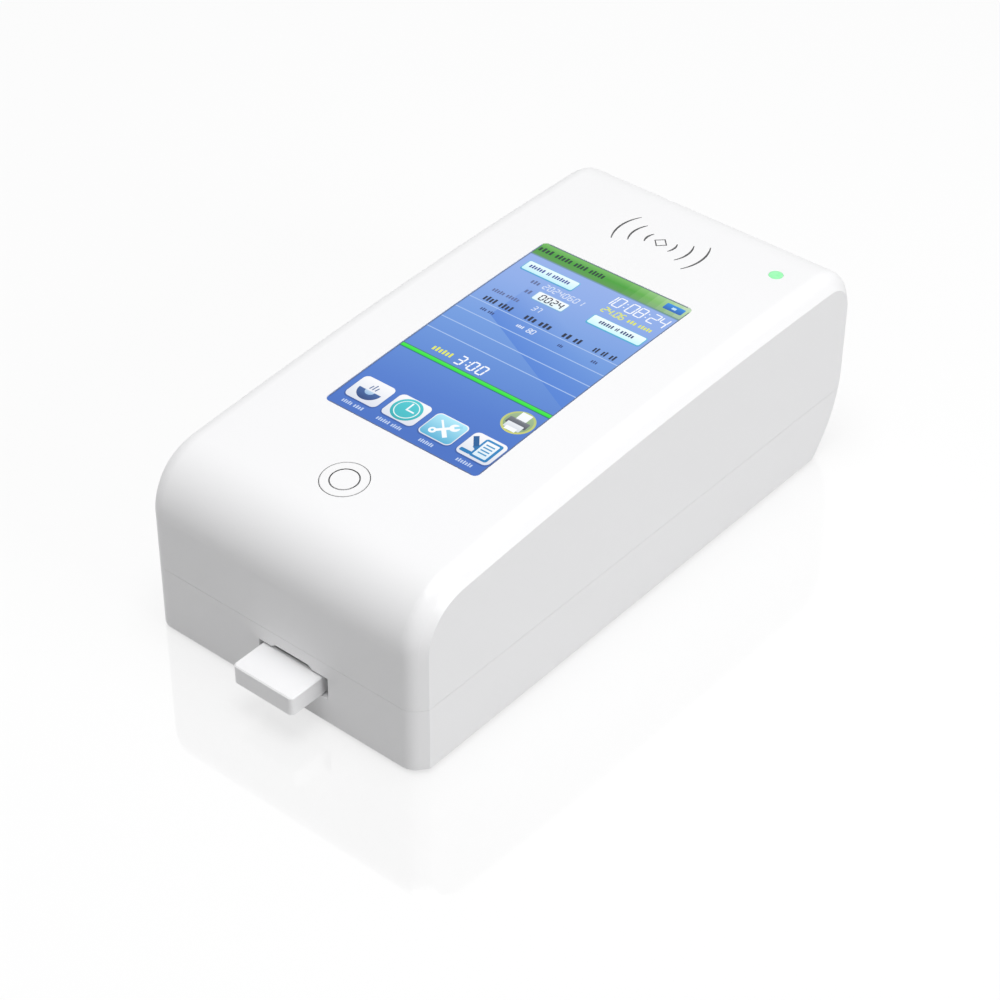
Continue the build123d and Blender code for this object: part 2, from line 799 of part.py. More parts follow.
with BuildPart() as stage_frame:
    with BuildSketch(Plane.XY.offset(stage_z)):
        with Locations(((stage_right - stage_left) / 2, (ear_y + stage_end_y) / 2)):
            Rectangle(stage_right + stage_left, stage_end_y - ear_y)
        with Locations(*stage_places, *bridge_places):
            Circle(small_screw_radius + screw_clearance, mode=Mode.SUBTRACT)
    extrude(amount=sheet)
    for face_y in (ear_y + sheet, stage_end_y):
        with BuildSketch(across(face_y)):
            with Locations((ear_middle, (stage_z + ear_top) / 2)):
                Rectangle(ear_span, ear_top - stage_z)
            with Locations(*rod_places):
                Circle(rod_radius + rod_seat_clearance, mode=Mode.SUBTRACT)
            with Locations((screw_x, axis_z)):
                Circle(screw_bush_radius, mode=Mode.SUBTRACT)
        extrude(amount=sheet)
    window_rise = ear_window_rise + slot_below
    with BuildSketch(across(ear_y + sheet)):
        with Locations((tray_x, axis_z + (ear_window_rise - slot_below) / 2)):
            Rectangle(tray_width + 2 * ear_window_gap, tray_thickness + window_rise)
    extrude(amount=sheet, mode=Mode.SUBTRACT)
    with BuildSketch(across(stage_end_y)):
        with Locations((flag_x, axis_z)):
            Rectangle(gate_slot + flag_thickness, flag_height + 2 * gate_floor)
        with Locations(*motor_places):
            Circle(small_screw_radius + screw_clearance)
    extrude(amount=sheet, mode=Mode.SUBTRACT)
stage_frame.part.label = "stage_frame"
export_step(stage_frame.part, "parts/stage_frame.step")

for side, x in (("left", left_rod_x), ("right", right_rod_x)):
    with BuildPart() as guide_rod:
        with BuildSketch(across(stage_end_y)):
            with Locations((x, axis_z)):
                Circle(rod_radius)
        extrude(amount=stage_end_y - ear_y + rod_end)
        chamfer(guide_rod.faces().filter_by(Axis.Y).edges(), rod_radius / 8)
    guide_rod.part.label = f"guide_rod_{side}"
    export_step(guide_rod.part, f"parts/guide_rod_{side}.step")

with BuildPart() as carriage:
    with BuildSketch(across(block_end_y)):
        with Locations(((block_left + block_right) / 2, axis_z)):
            RectangleRounded(block_right - block_left, block_top - block_bottom, tray_corner)
        with Locations(*rod_places):
            Circle(rod_radius + bush_wall, mode=Mode.SUBTRACT)
        with Locations((screw_x, axis_z)):
            Circle(nut_radius, mode=Mode.SUBTRACT)
    extrude(amount=carriage_length)
    with BuildSketch(across(block_y + screw_clearance)):
        with Locations((tray_x, (block_bottom + tray_bottom) / 2)):
            Rectangle(shelf_width, tray_bottom - block_bottom)
    extrude(amount=shelf_length + screw_clearance)
    with BuildSketch(Plane.XY.offset(tray_bottom)):
        with Locations(*tray_screw_places):
            Circle(small_screw_radius + screw_clearance)
    extrude(amount=block_bottom - tray_bottom, mode=Mode.SUBTRACT)
carriage.part.label = "carriage"
export_step(carriage.part, "parts/carriage.step")

with BuildPart() as carriage_bushes:
    for end_y in (block_y + bush_length, block_end_y):
        with BuildSketch(across(end_y)):
            with Locations(*rod_places):
                Circle(rod_radius + bush_wall)
                Circle(rod_radius + rod_clearance, mode=Mode.SUBTRACT)
        extrude(amount=bush_length)
carriage_bushes.part.label = "carriage_bushes"
export_step(carriage_bushes.part, "parts/carriage_bushes.step")

with BuildPart() as lead_nut:
    with BuildSketch(across(block_end_y)):
        with Locations((screw_x, axis_z)):
            Circle(nut_radius)
    extrude(amount=carriage_length)
    with BuildSketch(across(block_y)):
        with Locations((screw_x, axis_z)):
            Circle(nut_flange_radius)
    extrude(amount=nut_flange_height)
    with BuildSketch(across(block_end_y)):
        with Locations((screw_x, axis_z)):
            Circle(lead_screw_radius + nut_clearance)
    extrude(amount=carriage_length + nut_flange_height, mode=Mode.SUBTRACT)
lead_nut.part.label = "lead_nut"
export_step(lead_nut.part, "parts/lead_nut.step")

with BuildPart() as sensor_flag:
    with BuildSketch(across(block_end_y + flag_length)):
        with Locations((flag_x, axis_z)):
            Rectangle(flag_thickness, flag_height)
    extrude(amount=flag_length)
sensor_flag.part.label = "sensor_flag"
export_step(sensor_flag.part, "parts/sensor_flag.step")

with BuildPart() as tray:
    with BuildSketch(Plane.XY.offset(tray_bottom)):
        with Locations((tray_x, (tip_y + block_y - screw_clearance) / 2)):
            Rectangle(tray_width, block_y - screw_clearance - tip_y)
    extrude(amount=tray_thickness)
    fillet(tray.edges().filter_by(Axis.Z).group_by(Axis.Y)[0], tray_corner)
    chamfer(tray.faces().sort_by(Axis.Z)[-1].outer_wire().edges(), tray_edge)
    chamfer(tray.faces().sort_by(Axis.Z)[0].outer_wire().edges(), tray_edge)
    with BuildSketch(Plane.XY.offset(tray_top)):
        with Locations((tray_x, pocket_y + pocket_length / 2)):
            RectangleRounded(pocket_width, pocket_length, tray_corner)
    extrude(amount=-pocket_depth, mode=Mode.SUBTRACT)
    with BuildSketch(Plane.XY.offset(tray_top)):
        with Locations((tray_x, pocket_y + pocket_length - pocket_width / 2)):
            Circle(push_hole_radius)
        with Locations(*tray_screw_places):
            Circle(small_screw_radius + screw_clearance)
    extrude(amount=-tray_thickness, mode=Mode.SUBTRACT)
    with BuildSketch(Plane.XY.offset(tray_top)):
        with Locations(*tray_screw_places):
            Circle(small_screw_radius * head_factor + screw_clearance)
    extrude(amount=-head_height - drive_depth, mode=Mode.SUBTRACT)
tray.part.label = "tray"
export_step(tray.part, "parts/tray.step")

tray_screw = screw(small_screw_radius, tray_top - head_height - drive_depth - block_bottom)
head_down = Plane(
    origin=(0, 0, tray_top - head_height - drive_depth), x_dir=(1, 0, 0), z_dir=(0, 0, -1)
)
with BuildPart() as tray_screws:
    with Locations(head_down):
        with Locations(*((x, -y) for x, y in tray_screw_places)):
            add(tray_screw)
tray_screws.part.label = "tray_screws"
export_step(tray_screws.part, "parts/tray_screws.step")

with BuildPart() as lead_screw:
    with BuildSketch(across(stage_end_y + motor_bore_depth - rod_end)):
        with Locations((screw_x, axis_z)):
            Circle(lead_screw_radius)
    extrude(amount=stage_end_y + motor_bore_depth - ear_y)
    chamfer(lead_screw.faces().filter_by(Axis.Y).edges(), lead_screw_radius / 8)
lead_screw.part.label = "lead_screw"
export_step(lead_screw.part, "parts/lead_screw.step")

with BuildPart() as screw_bush:
    with BuildSketch(across(ear_y + sheet)):
        with Locations((screw_x, axis_z)):
            Circle(screw_bush_radius - screw_clearance)
    extrude(amount=sheet)
    with BuildSketch(across(ear_y)):
        with Locations((screw_x, axis_z)):
            Circle(screw_bush_flange)
    extrude(amount=screw_bush_flange_height)
    with BuildSketch(across(ear_y + sheet)):
        with Locations((screw_x, axis_z)):
            Circle(lead_screw_radius + nut_clearance)
    extrude(amount=sheet + screw_bush_flange_height, mode=Mode.SUBTRACT)
screw_bush.part.label = "screw_bush"
export_step(screw_bush.part, "parts/screw_bush.step")

with BuildPart() as stepper_motor:
    with BuildSketch(across(motor_end_y)):
        with Locations((screw_x, axis_z)):
            RectangleRounded(motor_size, motor_size, motor_corner)
    extrude(amount=motor_length)
    with BuildSketch(across(stage_end_y)):
        with Locations((screw_x, axis_z)):
            Circle(screw_bush_radius - screw_clearance)
    extrude(amount=sheet)
    with BuildSketch(across(stage_end_y + motor_bore_depth)):
        with Locations((screw_x, axis_z)):
            Circle(lead_screw_radius + nut_clearance)
    extrude(amount=motor_bore_depth + sheet, mode=Mode.SUBTRACT)
    with BuildSketch(across(stage_end_y + motor_corner)):
        with Locations(*motor_places):
            Circle(small_screw_radius + screw_clearance)
    extrude(amount=motor_corner, mode=Mode.SUBTRACT)
stepper_motor.part.label = "stepper_motor"
export_step(stepper_motor.part, "parts/stepper_motor.step")

with BuildPart() as home_sensor:
    with BuildSketch(across(stage_end_y + gate_depth)):
        with Locations((flag_x, axis_z)):
            Rectangle(gate_width, gate_height)
    extrude(amount=gate_depth)
    with BuildSketch(across(stage_end_y + gate_depth)):
        with Locations((flag_x, axis_z + gate_floor)):
            Rectangle(gate_slot, gate_height)
    extrude(amount=gate_depth, mode=Mode.SUBTRACT)
home_sensor.part.label = "home_sensor"
export_step(home_sensor.part, "parts/home_sensor.step")

# --- the reading head -------------------------------------------------------
bridge_middle = (bridge_left + bridge_right) / 2
with BuildPart() as head_bridge:
    with BuildSketch(Plane.XY.offset(stage_top)):
        with Locations((bridge_middle, spot)):
            Rectangle(bridge_right - bridge_left, bridge_length)
            Rectangle(bridge_right - bridge_left - 2 * bridge_leg, bridge_length, mode=Mode.SUBTRACT)
    extrude(amount=deck_z - stage_top)
    with BuildSketch(Plane.XY.offset(deck_z)):
        with Locations((bridge_middle, spot)):
            Rectangle(bridge_right - bridge_left, bridge_length)
        with Locations((tray_x, spot)):
            Circle(deck_window_radius, mode=Mode.SUBTRACT)
    extrude(amount=bridge_deck)
    with BuildSketch(Plane.XY.offset(stage_top)):
        with Locations(*bridge_places):
            Circle(small_screw_radius + screw_clearance)
    extrude(amount=deck_z - stage_top, mode=Mode.SUBTRACT)
head_bridge.part.label = "head_bridge"
export_step(head_bridge.part, "parts/head_bridge.step")

channel_z = deck_top + side_channel_height
housing_rear = spot + housing_length / 2
with BuildPart() as optics_housing:
    with BuildSketch(Plane.XY.offset(deck_top)):
        with Locations((tray_x, spot)):
            Rectangle(housing_width, housing_length)
            Circle(channel_radius, mode=Mode.SUBTRACT)
    extrude(amount=housing_height)
    with BuildSketch(across(housing_rear)):
        with Locations((tray_x, channel_z)):
            Circle(side_channel_radius)
    extrude(amount=housing_length / 2, mode=Mode.SUBTRACT)
optics_housing.part.label = "optics_housing"
export_step(optics_housing.part, "parts/optics_housing.step")

lens_radius = channel_radius - optic_clearance
lens_sphere = (lens_radius**2 + lens_crown**2) / (2 * lens_crown)
lens_foot = deck_top + lens_height
with BuildPart() as objective_lens:
    with BuildSketch(Plane.XY.offset(lens_foot)):
        with Locations((tray_x, spot)):
            Circle(lens_radius)
    extrude(amount=lens_rim + lens_crown)
    with Locations((tray_x, spot, lens_foot + lens_rim + lens_crown - lens_sphere)):
        Sphere(lens_sphere, mode=Mode.INTERSECT)
objective_lens.part.label = "objective_lens"
export_step(objective_lens.part, "parts/objective_lens.step")

mirror_plane = Plane(origin=(tray_x, spot, channel_z), x_dir=(1, 0, 0), z_dir=(0, -1, 1))
with BuildPart() as dichroic_mirror:
    with BuildSketch(mirror_plane):
        Rectangle(mirror_width, mirror_length)
    extrude(amount=mirror_thickness / 2, both=True)
dichroic_mirror.part.label = "dichroic_mirror"
export_step(dichroic_mirror.part, "parts/dichroic_mirror.step")

with BuildPart() as emission_filter:
    with BuildSketch(Plane.XY.offset(deck_top + filter_height)):
        with Locations((tray_x, spot)):
            Circle(channel_radius - optic_clearance)
    extrude(amount=filter_thickness)
emission_filter.part.label = "emission_filter"
export_step(emission_filter.part, "parts/emission_filter.step")

with BuildPart() as excitation_filter:
    with BuildSketch(across(housing_rear - side_filter_depth)):
        with Locations((tray_x, channel_z)):
            Circle(side_channel_radius - optic_clearance)
    extrude(amount=side_filter_thickness)
excitation_filter.part.label = "excitation_filter"
export_step(excitation_filter.part, "parts/excitation_filter.step")

with BuildPart() as emitter:
    with BuildSketch(across(housing_rear + board_thickness)):
        with Locations((tray_x, channel_z)):
            Rectangle(emitter_board, emitter_board)
    extrude(amount=board_thickness)
    with BuildSketch(across(housing_rear)):
        with Locations((tray_x, channel_z)):
            Circle(emitter_radius)
    extrude(amount=emitter_reach)
    fillet(emitter.faces().sort_by(Axis.Y)[0].edges(), emitter_radius / 2)
emitter.part.label = "emitter"
export_step(emitter.part, "parts/emitter.step")

with BuildPart() as sensor_board:
    with BuildSketch(Plane.XY.offset(housing_top)):
        with Locations((tray_x, spot)):
            Rectangle(sensor_board_width, sensor_board_length)
    extrude(amount=board_thickness)
    with BuildSketch(Plane.XY.offset(housing_top)):
        with Locations((tray_x, spot)):
            Rectangle(sensor_size, sensor_size)
    extrude(amount=-sensor_height)
sensor_board.part.label = "sensor_board"
export_step(sensor_board.part, "parts/sensor_board.step")

# --- power and rear connections ---------------------------------------------
cell_z = floor_z + cradle_floor + cell_clearance + cell_radius
cell_places = [(front_y + cell_rear_y - pitch, cell_z) for pitch in (cell_pitch, 0)]
cradle_y = front_y + cell_rear_y - cell_pitch / 2
with BuildPart() as battery_cells:
    with BuildSketch(Plane.YZ):
        with Locations(*cell_places):
            Circle(cell_radius)
    extrude(amount=cell_length / 2, both=True)
    chamfer(battery_cells.faces().filter_by(Axis.X).edges(), cell_radius / 12)
battery_cells.part.label = "battery_cells"
export_step(battery_cells.part, "parts/battery_cells.step")

with BuildPart() as battery_cradle:
    with BuildSketch(Plane.XY.offset(floor_z)):
        with Locations((0, cradle_y)):
            Rectangle(cell_length + 2 * (cell_clearance + cradle_end), 2 * cradle_half_depth)
    extrude(amount=cradle_floor + cradle_rise)
    with BuildSketch(Plane.YZ):
        with Locations(*cell_places):
            Circle(cell_radius + cell_clearance)
    extrude(amount=cell_length / 2 + cell_clearance, both=True, mode=Mode.SUBTRACT)
battery_cradle.part.label = "battery_cradle"
export_step(battery_cradle.part, "parts/battery_cradle.step")

with BuildPart() as rear_panel:
    with BuildSketch(across(inner_rear)):
        with Locations((0, bay_middle)):
            Rectangle(panel_width, panel_height)
        with Locations((jack_x, bay_middle)):
            Circle(jack_hole_radius, mode=Mode.SUBTRACT)
        with Locations((usb_x, port_board_top + usb_height / 2)):
            RectangleRounded(
                usb_width + 2 * panel_play, usb_height + 2 * panel_play, usb_height / 2, mode=Mode.SUBTRACT
            )
        with Locations((rocker_x, bay_middle)):
            Rectangle(frame_width + 2 * panel_play, frame_height + 2 * panel_play, mode=Mode.SUBTRACT)
    extrude(amount=panel_thickness)
    with BuildSketch(across(panel_back)):
        with Locations(
            (port_board_left + lug_width, port_board_top - board_thickness - lug_thickness / 2),
            (port_board_right - lug_width, port_board_top - board_thickness - lug_thickness / 2),
        ):
            Rectangle(lug_width, lug_thickness)
    extrude(amount=lug_length)
rear_panel.part.label = "rear_panel"
export_step(rear_panel.part, "parts/rear_panel.step")

with BuildPart() as port_board:
    with BuildSketch(Plane.XY.offset(port_board_top - board_thickness)):
        with Locations(((port_board_left + port_board_right) / 2, panel_back - port_board_length / 2)):
            Rectangle(port_board_right - port_board_left, port_board_length)
    extrude(amount=board_thickness)
port_board.part.label = "port_board"
export_step(port_board.part, "parts/port_board.step")

with BuildPart() as dc_jack:
    with BuildSketch(across(panel_back)):
        with Locations((jack_x, port_board_top + jack_height / 2)):
            Rectangle(jack_width, jack_height)
    extrude(amount=jack_depth)
    with BuildSketch(across(panel_back)):
        with Locations((jack_x, bay_middle)):
            Circle(jack_bore_radius)
    extrude(amount=jack_bore_depth, mode=Mode.SUBTRACT)
    with BuildSketch(across(panel_back - jack_pin_short)):
        with Locations((jack_x, bay_middle)):
            Circle(jack_pin_radius)
    extrude(amount=jack_bore_depth)
dc_jack.part.label = "dc_jack"
export_step(dc_jack.part, "parts/dc_jack.step")

usb_z = port_board_top + usb_height / 2
with BuildPart() as usb_port:
    with BuildSketch(across(inner_rear - usb_sink)):
        with Locations((usb_x, usb_z)):
            RectangleRounded(usb_width, usb_height, usb_height / 2 - screw_clearance)
    extrude(amount=usb_depth)
    with BuildSketch(across(inner_rear - usb_sink)):
        with Locations((usb_x, usb_z)):
            RectangleRounded(
                usb_width - 2 * usb_skin, usb_height - 2 * usb_skin, usb_height / 2 - usb_skin - screw_clearance
            )
            Rectangle(usb_tongue_width, usb_tongue_height, mode=Mode.SUBTRACT)
    extrude(amount=usb_depth - 2 * usb_skin, mode=Mode.SUBTRACT)
usb_port.part.label = "usb_port"
export_step(usb_port.part, "parts/usb_port.step")

bezel_face = inner_rear + bezel_thickness
with BuildPart() as rocker_frame:
    with BuildSketch(across(bezel_face)):
        with Locations((rocker_x, bay_middle)):
            RectangleRounded(bezel_width, bezel_height, bay_corner)
    extrude(amount=bezel_thickness)
    with BuildSketch(across(inner_rear)):
        with Locations((rocker_x, bay_middle)):
            Rectangle(frame_width, frame_height)
    extrude(amount=frame_depth)
    with BuildSketch(across(bezel_face)):
        with Locations((rocker_x, bay_middle)):
            Rectangle(frame_width - 2 * frame_wall, frame_height - 2 * frame_wall)
    extrude(amount=frame_depth + bezel_thickness - 2 * frame_wall, mode=Mode.SUBTRACT)
    with BuildSketch(Plane.XY.offset(bay_middle)):
        with Locations((rocker_x, pivot_y)):
            Circle(rocker_pin_radius + screw_clearance)
    extrude(amount=frame_height / 2, both=True, mode=Mode.SUBTRACT)
rocker_frame.part.label = "rocker_frame"
export_step(rocker_frame.part, "parts/rocker_frame.step")

rocker_plane = Plane(
    origin=(rocker_x, pivot_y, bay_middle),
    x_dir=(cos(radians(rocker_tilt)), -sin(radians(rocker_tilt)), 0),
    z_dir=(0, 0, 1),
)
with BuildPart() as rocker:
    with BuildSketch(rocker_plane):
        with BuildLine():
            Polyline(
                (-rocker_reach, rocker_pad),
                (0, rocker_pad - rocker_dip),
                (rocker_reach, rocker_pad),
                (rocker_waist, 0),
                (rocker_root, -rocker_root),
                (-rocker_root, -rocker_root),
                (-rocker_waist, 0),
                close=True,
            )
        make_face()
    extrude(amount=rocker_length / 2, both=True)
    with BuildSketch(rocker_plane):
        Circle(rocker_pin_radius)
    extrude(amount=rocker_length / 2 + rocker_pin_length, both=True)
rocker.part.label = "rocker"
export_step(rocker.part, "parts/rocker.step")

# --- screws that hold the case, the stage and the motor ----------------------
case_screw = screw(case_screw_radius, case_screw_length)
with BuildPart() as case_screws:
    with Locations(Plane.XY.offset(foot_proud + case_bore_depth)):
        with Locations(*case_places):
            add(case_screw)
case_screws.part.label = "case_screws"
export_step(case_screws.part, "parts/case_screws.step")

stage_screw = screw(small_screw_radius, sheet + stage_lift)
bridge_screw = screw(small_screw_radius, sheet + bridge_screw_bite)
with BuildPart() as stage_screws:
    with Locations(Plane(origin=(0, 0, stage_top), x_dir=(1, 0, 0), z_dir=(0, 0, -1))):
        with Locations(*((x, -y) for x, y in stage_places)):
            add(stage_screw)
    with Locations(Plane.XY.offset(stage_z)):
        with Locations(*bridge_places):
            add(bridge_screw)
stage_screws.part.label = "stage_screws"
export_step(stage_screws.part, "parts/stage_screws.step")

motor_screw = screw(small_screw_radius, sheet + motor_corner)
with BuildPart() as motor_screws:
    with Locations(Plane(origin=(0, rear_ear_y, 0), x_dir=(1, 0, 0), z_dir=(0, 1, 0))):
        with Locations(*((x, -z) for x, z in motor_places)):
            add(motor_screw)
motor_screws.part.label = "motor_screws"
export_step(motor_screws.part, "parts/motor_screws.step")
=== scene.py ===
from math import atan2, cos, hypot, pi, radians, sin, sqrt

import bpy
from mathutils import Matrix, Vector


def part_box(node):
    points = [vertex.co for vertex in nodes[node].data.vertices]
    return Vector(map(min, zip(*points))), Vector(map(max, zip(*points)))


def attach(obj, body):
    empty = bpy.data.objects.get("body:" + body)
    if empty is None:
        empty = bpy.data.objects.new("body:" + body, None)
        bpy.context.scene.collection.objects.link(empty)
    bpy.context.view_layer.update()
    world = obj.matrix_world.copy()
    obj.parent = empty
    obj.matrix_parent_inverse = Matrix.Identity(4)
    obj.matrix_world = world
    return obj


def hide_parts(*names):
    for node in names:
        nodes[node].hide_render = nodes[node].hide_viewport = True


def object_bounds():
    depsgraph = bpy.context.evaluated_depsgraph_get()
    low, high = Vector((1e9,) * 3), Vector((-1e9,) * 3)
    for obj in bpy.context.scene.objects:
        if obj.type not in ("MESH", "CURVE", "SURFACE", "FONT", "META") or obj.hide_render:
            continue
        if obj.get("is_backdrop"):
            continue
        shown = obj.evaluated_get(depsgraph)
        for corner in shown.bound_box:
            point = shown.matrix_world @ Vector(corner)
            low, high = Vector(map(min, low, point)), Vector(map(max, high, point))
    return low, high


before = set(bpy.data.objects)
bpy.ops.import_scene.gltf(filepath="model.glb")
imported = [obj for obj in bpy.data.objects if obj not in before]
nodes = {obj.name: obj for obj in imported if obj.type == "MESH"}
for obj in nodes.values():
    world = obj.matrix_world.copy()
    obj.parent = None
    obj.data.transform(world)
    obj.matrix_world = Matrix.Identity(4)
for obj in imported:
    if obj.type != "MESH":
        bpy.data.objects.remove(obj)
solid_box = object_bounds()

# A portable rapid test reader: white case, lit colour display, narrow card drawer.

# --- Lower case ---------------------------------------------------------------
# The lower half of the case is injection moulded in white ABS with a very fine
# spark-eroded grain.  It carries the stage and the cells and takes four screws.


class Signal:
    """A socket of a finish; arithmetic on it adds Math nodes."""

    def __init__(self, finish, socket):
        self.finish = finish
        self.socket = socket

    def math(self, operation, *terms):
        return self.finish.add("ShaderNodeMath", {"operation": operation}, terms)

    def __add__(self, other):
        return self.math("ADD", self, other)

    __radd__ = __add__

    def __sub__(self, other):
        return self.math("SUBTRACT", self, other)

    def __rsub__(self, other):
        return self.math("SUBTRACT", other, self)

    def __mul__(self, other):
        return self.math("MULTIPLY", self, other)

    __rmul__ = __mul__

    def __truediv__(self, other):
        return self.math("DIVIDE", self, other)

    def __pow__(self, other):
        return self.math("POWER", self, other)

    def __lt__(self, other):
        return self.math("LESS_THAN", self, other)

    def __gt__(self, other):
        return self.math("GREATER_THAN", self, other)

    def __abs__(self):
        return self.math("ABSOLUTE", self)

    def __round__(self, digits=0):
        return self.math("ROUND", self)


class Finish:
    """A procedural finish on one Principled shader, built node by node."""

    def __init__(self, name, fixed):
        self.material = bpy.data.materials.new(name)
        self.material.use_nodes = True
        self.tree = self.material.node_tree
        self.shader = self.tree.nodes["Principled BSDF"]
        for socket, value in fixed.items():
            self.shader.inputs[socket].default_value = value

    def add(self, kind, settings=None, inputs=(), output=0):
        """Adds one node: its settings first, then its sockets' values or links."""
        node = self.tree.nodes.new(kind)
        for name, value in (settings or {}).items():
            if name == "stops":
                while len(node.color_ramp.elements) < len(value):
                    node.color_ramp.elements.new(1.0)
                for element, (place, colour) in zip(node.color_ramp.elements, value):
                    element.position = place
                    element.color = colour
            else:
                setattr(node, name, value)
        for key, value in inputs.items() if isinstance(inputs, dict) else enumerate(inputs):
            self.feed(node.inputs[key], value)
        return Signal(self, node.outputs[output])

    def feed(self, socket, value):
        if isinstance(value, Signal):
            self.tree.links.new(value.socket, socket)
        else:
            socket.default_value = value

    def vary(self, socket, value):
        self.feed(self.shader.inputs[socket], value)

    def place(self):
        return self.add("ShaderNodeTexCoord", output="Object")

    def coordinates(self):
        """The place on the piece as x, y and z, in metres."""
        parts = self.add("ShaderNodeSeparateXYZ", {}, {"Vector": self.place()}).socket.node.outputs
        return [Signal(self, parts[axis]) for axis in "XYZ"]

    def skin(self):
        """The colour that the shader has been fed so far."""
        return Signal(self, self.shader.inputs["Base Color"].links[0].from_socket)

    def noise(self, place, scale, detail=2.0):
        return self.add("ShaderNodeTexNoise", {}, {"Vector": place, "Scale": scale, "Detail": detail})

    def mix(self, mask, dark, light):
        return self.add("ShaderNodeMix", {"data_type": "RGBA"}, {0: mask, 6: dark, 7: light}, 2)

    def grain(self, height, depth):
        """Fine surface relief, depth in metres."""
        self.vary("Normal", self.add("ShaderNodeBump", {}, {"Distance": depth, "Height": height}))


def shade(red, green, blue):
    """A colour as the eye reads it on a screen, 0 to 255, made linear."""
    linear = [((c / 255 + 0.055) / 1.055) ** 2.4 if c > 10 else c / 3295 for c in (red, green, blue)]
    return (*linear, 1.0)


def moulded(name, colour, roughness, grain_size, grain_depth, uneven):
    """Moulded plastic: faint drifts of tone and gloss under a fine eroded grain."""
    drifts_per_metre, gloss_spread = 22.0, 0.08
    finish = Finish(name, {"IOR": 1.5})
    place = finish.place()
    drift = finish.noise(place, drifts_per_metre, 3.0)
    darker = (*(c * (1 - uneven) for c in colour[:3]), 1.0)
    finish.vary("Base Color", finish.mix(drift, darker, colour))
    finish.vary("Roughness", drift * gloss_spread + (roughness - gloss_spread / 2))
    finish.grain(finish.noise(place, 1 / grain_size, 3.0), grain_depth)
    return finish


def dress(finish, *names):
    """Puts a finish on pieces that keep their solid's own shape."""
    for name in names:
        mesh = nodes[name].data
        mesh.materials.clear()
        mesh.materials.append(finish.material)


white_abs = shade(246, 246, 247)
case_gloss = 0.34
case_grain, case_grain_depth = 0.00035, 0.000002
case_uneven = 0.012
lower_case = moulded(
    "lower_case_white", white_abs, case_gloss, case_grain, case_grain_depth, case_uneven
)
dress(lower_case, "bottom_cover")

# --- Feet ---------------------------------------------------------------------
# Four discs of dark nitrile rubber, punched from sheet and glued into shallow
# round recesses in the floor of the case.
foot_rubber = moulded("foot_rubber_black", shade(44, 44, 46), 0.82, 0.0006, 0.00002, 0.2)
dress(foot_rubber, "feet")

# --- Scanning stage -----------------------------------------------------------
# A folded sheet-metal frame on four bosses, with two ground steel guide rods
# pressed through its ears; the bridge over it is a machined light-metal casting.


def milled(name, colour, roughness, stretch, line_pitch=0.0006):
    """Metal with fine lines drawn out along one axis and a cloudy polish."""
    clouds_per_metre, dulling, gloss_spread = 60.0, 0.82, 0.16
    line_depth = 0.000004
    finish = Finish(name, {"Metallic": 1.0})
    place = finish.place()
    drawn = finish.add("ShaderNodeMapping", {}, {"Vector": place, "Scale": stretch})
    lines = finish.noise(drawn, 1 / line_pitch, 4.0)
    cloud = finish.noise(place, clouds_per_metre, 3.0)
    duller = (*(c * dulling for c in colour[:3]), 1.0)
    finish.vary("Base Color", finish.mix(cloud, duller, colour))
    finish.vary("Roughness", lines * gloss_spread + (roughness - gloss_spread / 2))
    finish.grain(lines, line_depth)
    return finish


rolled_sheet = milled("rolled_sheet_metal", shade(196, 199, 203), 0.38, (1.0, 0.06, 1.0))
dress(rolled_sheet, "stage_frame")
cast_bridge = milled("machined_bridge_metal", shade(188, 190, 194), 0.44, (0.2, 1.0, 1.0))
dress(cast_bridge, "head_bridge")
ground_steel = milled("ground_rod_steel", shade(206, 208, 212), 0.2, (1.0, 0.02, 1.0), 0.0003)
dress(ground_steel, "guide_rod_left", "guide_rod_right")

# --- Carriage and card drawer -------------------------------------------------
# The carriage is black acetal on sintered bronze bushes.  The drawer is a white
# moulding screwed to it, with a pocket for one test card and a plain nose.
carriage_black = moulded("carriage_black_acetal", shade(38, 38, 40), 0.42, 0.0004, 0.000004, 0.15)
dress(carriage_black, "carriage", "sensor_flag")

pores_per_metre, pore_depth = 2600.0, 0.00001
sintered_bronze = Finish("sintered_bronze", {"Metallic": 1.0})
pores = sintered_bronze.noise(sintered_bronze.place(), pores_per_metre, 4.0)
sintered_bronze.vary("Base Color", sintered_bronze.mix(pores, shade(118, 84, 44), shade(206, 158, 96)))
sintered_bronze.vary("Roughness", pores * 0.3 + 0.28)
sintered_bronze.grain(pores, pore_depth)
dress(sintered_bronze, "carriage_bushes", "lead_nut", "screw_bush")

drawer_white = moulded("drawer_white", shade(248, 248, 249), 0.3, 0.0003, 0.0000015, 0.01)
dress(drawer_white, "tray")

# --- Screws -------------------------------------------------------------------
# Zinc-plated steel pan-head screws hold the case, stage, motor, boards and
# drawer; the heads show fine turning marks and the plating's faint blue.
plated_screw = milled("plated_screw_steel", shade(190, 196, 204), 0.3, (1.0, 1.0, 0.2), 0.00025)
dress(plated_screw, "case_screws", "stage_screws", "motor_screws", "board_screws")
dress(plated_screw, "small_board_screws", "tray_screws")

# --- Motor and lead screw -----------------------------------------------------
# A small stepping motor with a painted body turns the screw directly.  The
# screw's rolled four-start thread stands on a core between a plain tip and shank.
motor_coat = moulded("motor_black_coat", shade(52, 53, 56), 0.36, 0.0005, 0.000006, 0.2)
dress(motor_coat, "stepper_motor")

screw_low, screw_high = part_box("lead_screw")
screw_centre = (screw_low + screw_high) / 2
thread_outer = (screw_high.x - screw_low.x) / 2
ridge_height = 0.00045
thread_core = thread_outer - ridge_height
thread_starts = 4
thread_lead = 0.006
thread_steps = 40
tip_length = 0.0035
shank_length = 0.0185
screw_bevel = 0.0003


def stand(name, data):
    """Puts a mesh, lamp or camera into the scene as an object."""
    piece = bpy.data.objects.new(name, data)
    bpy.context.scene.collection.objects.link(piece)
    return piece


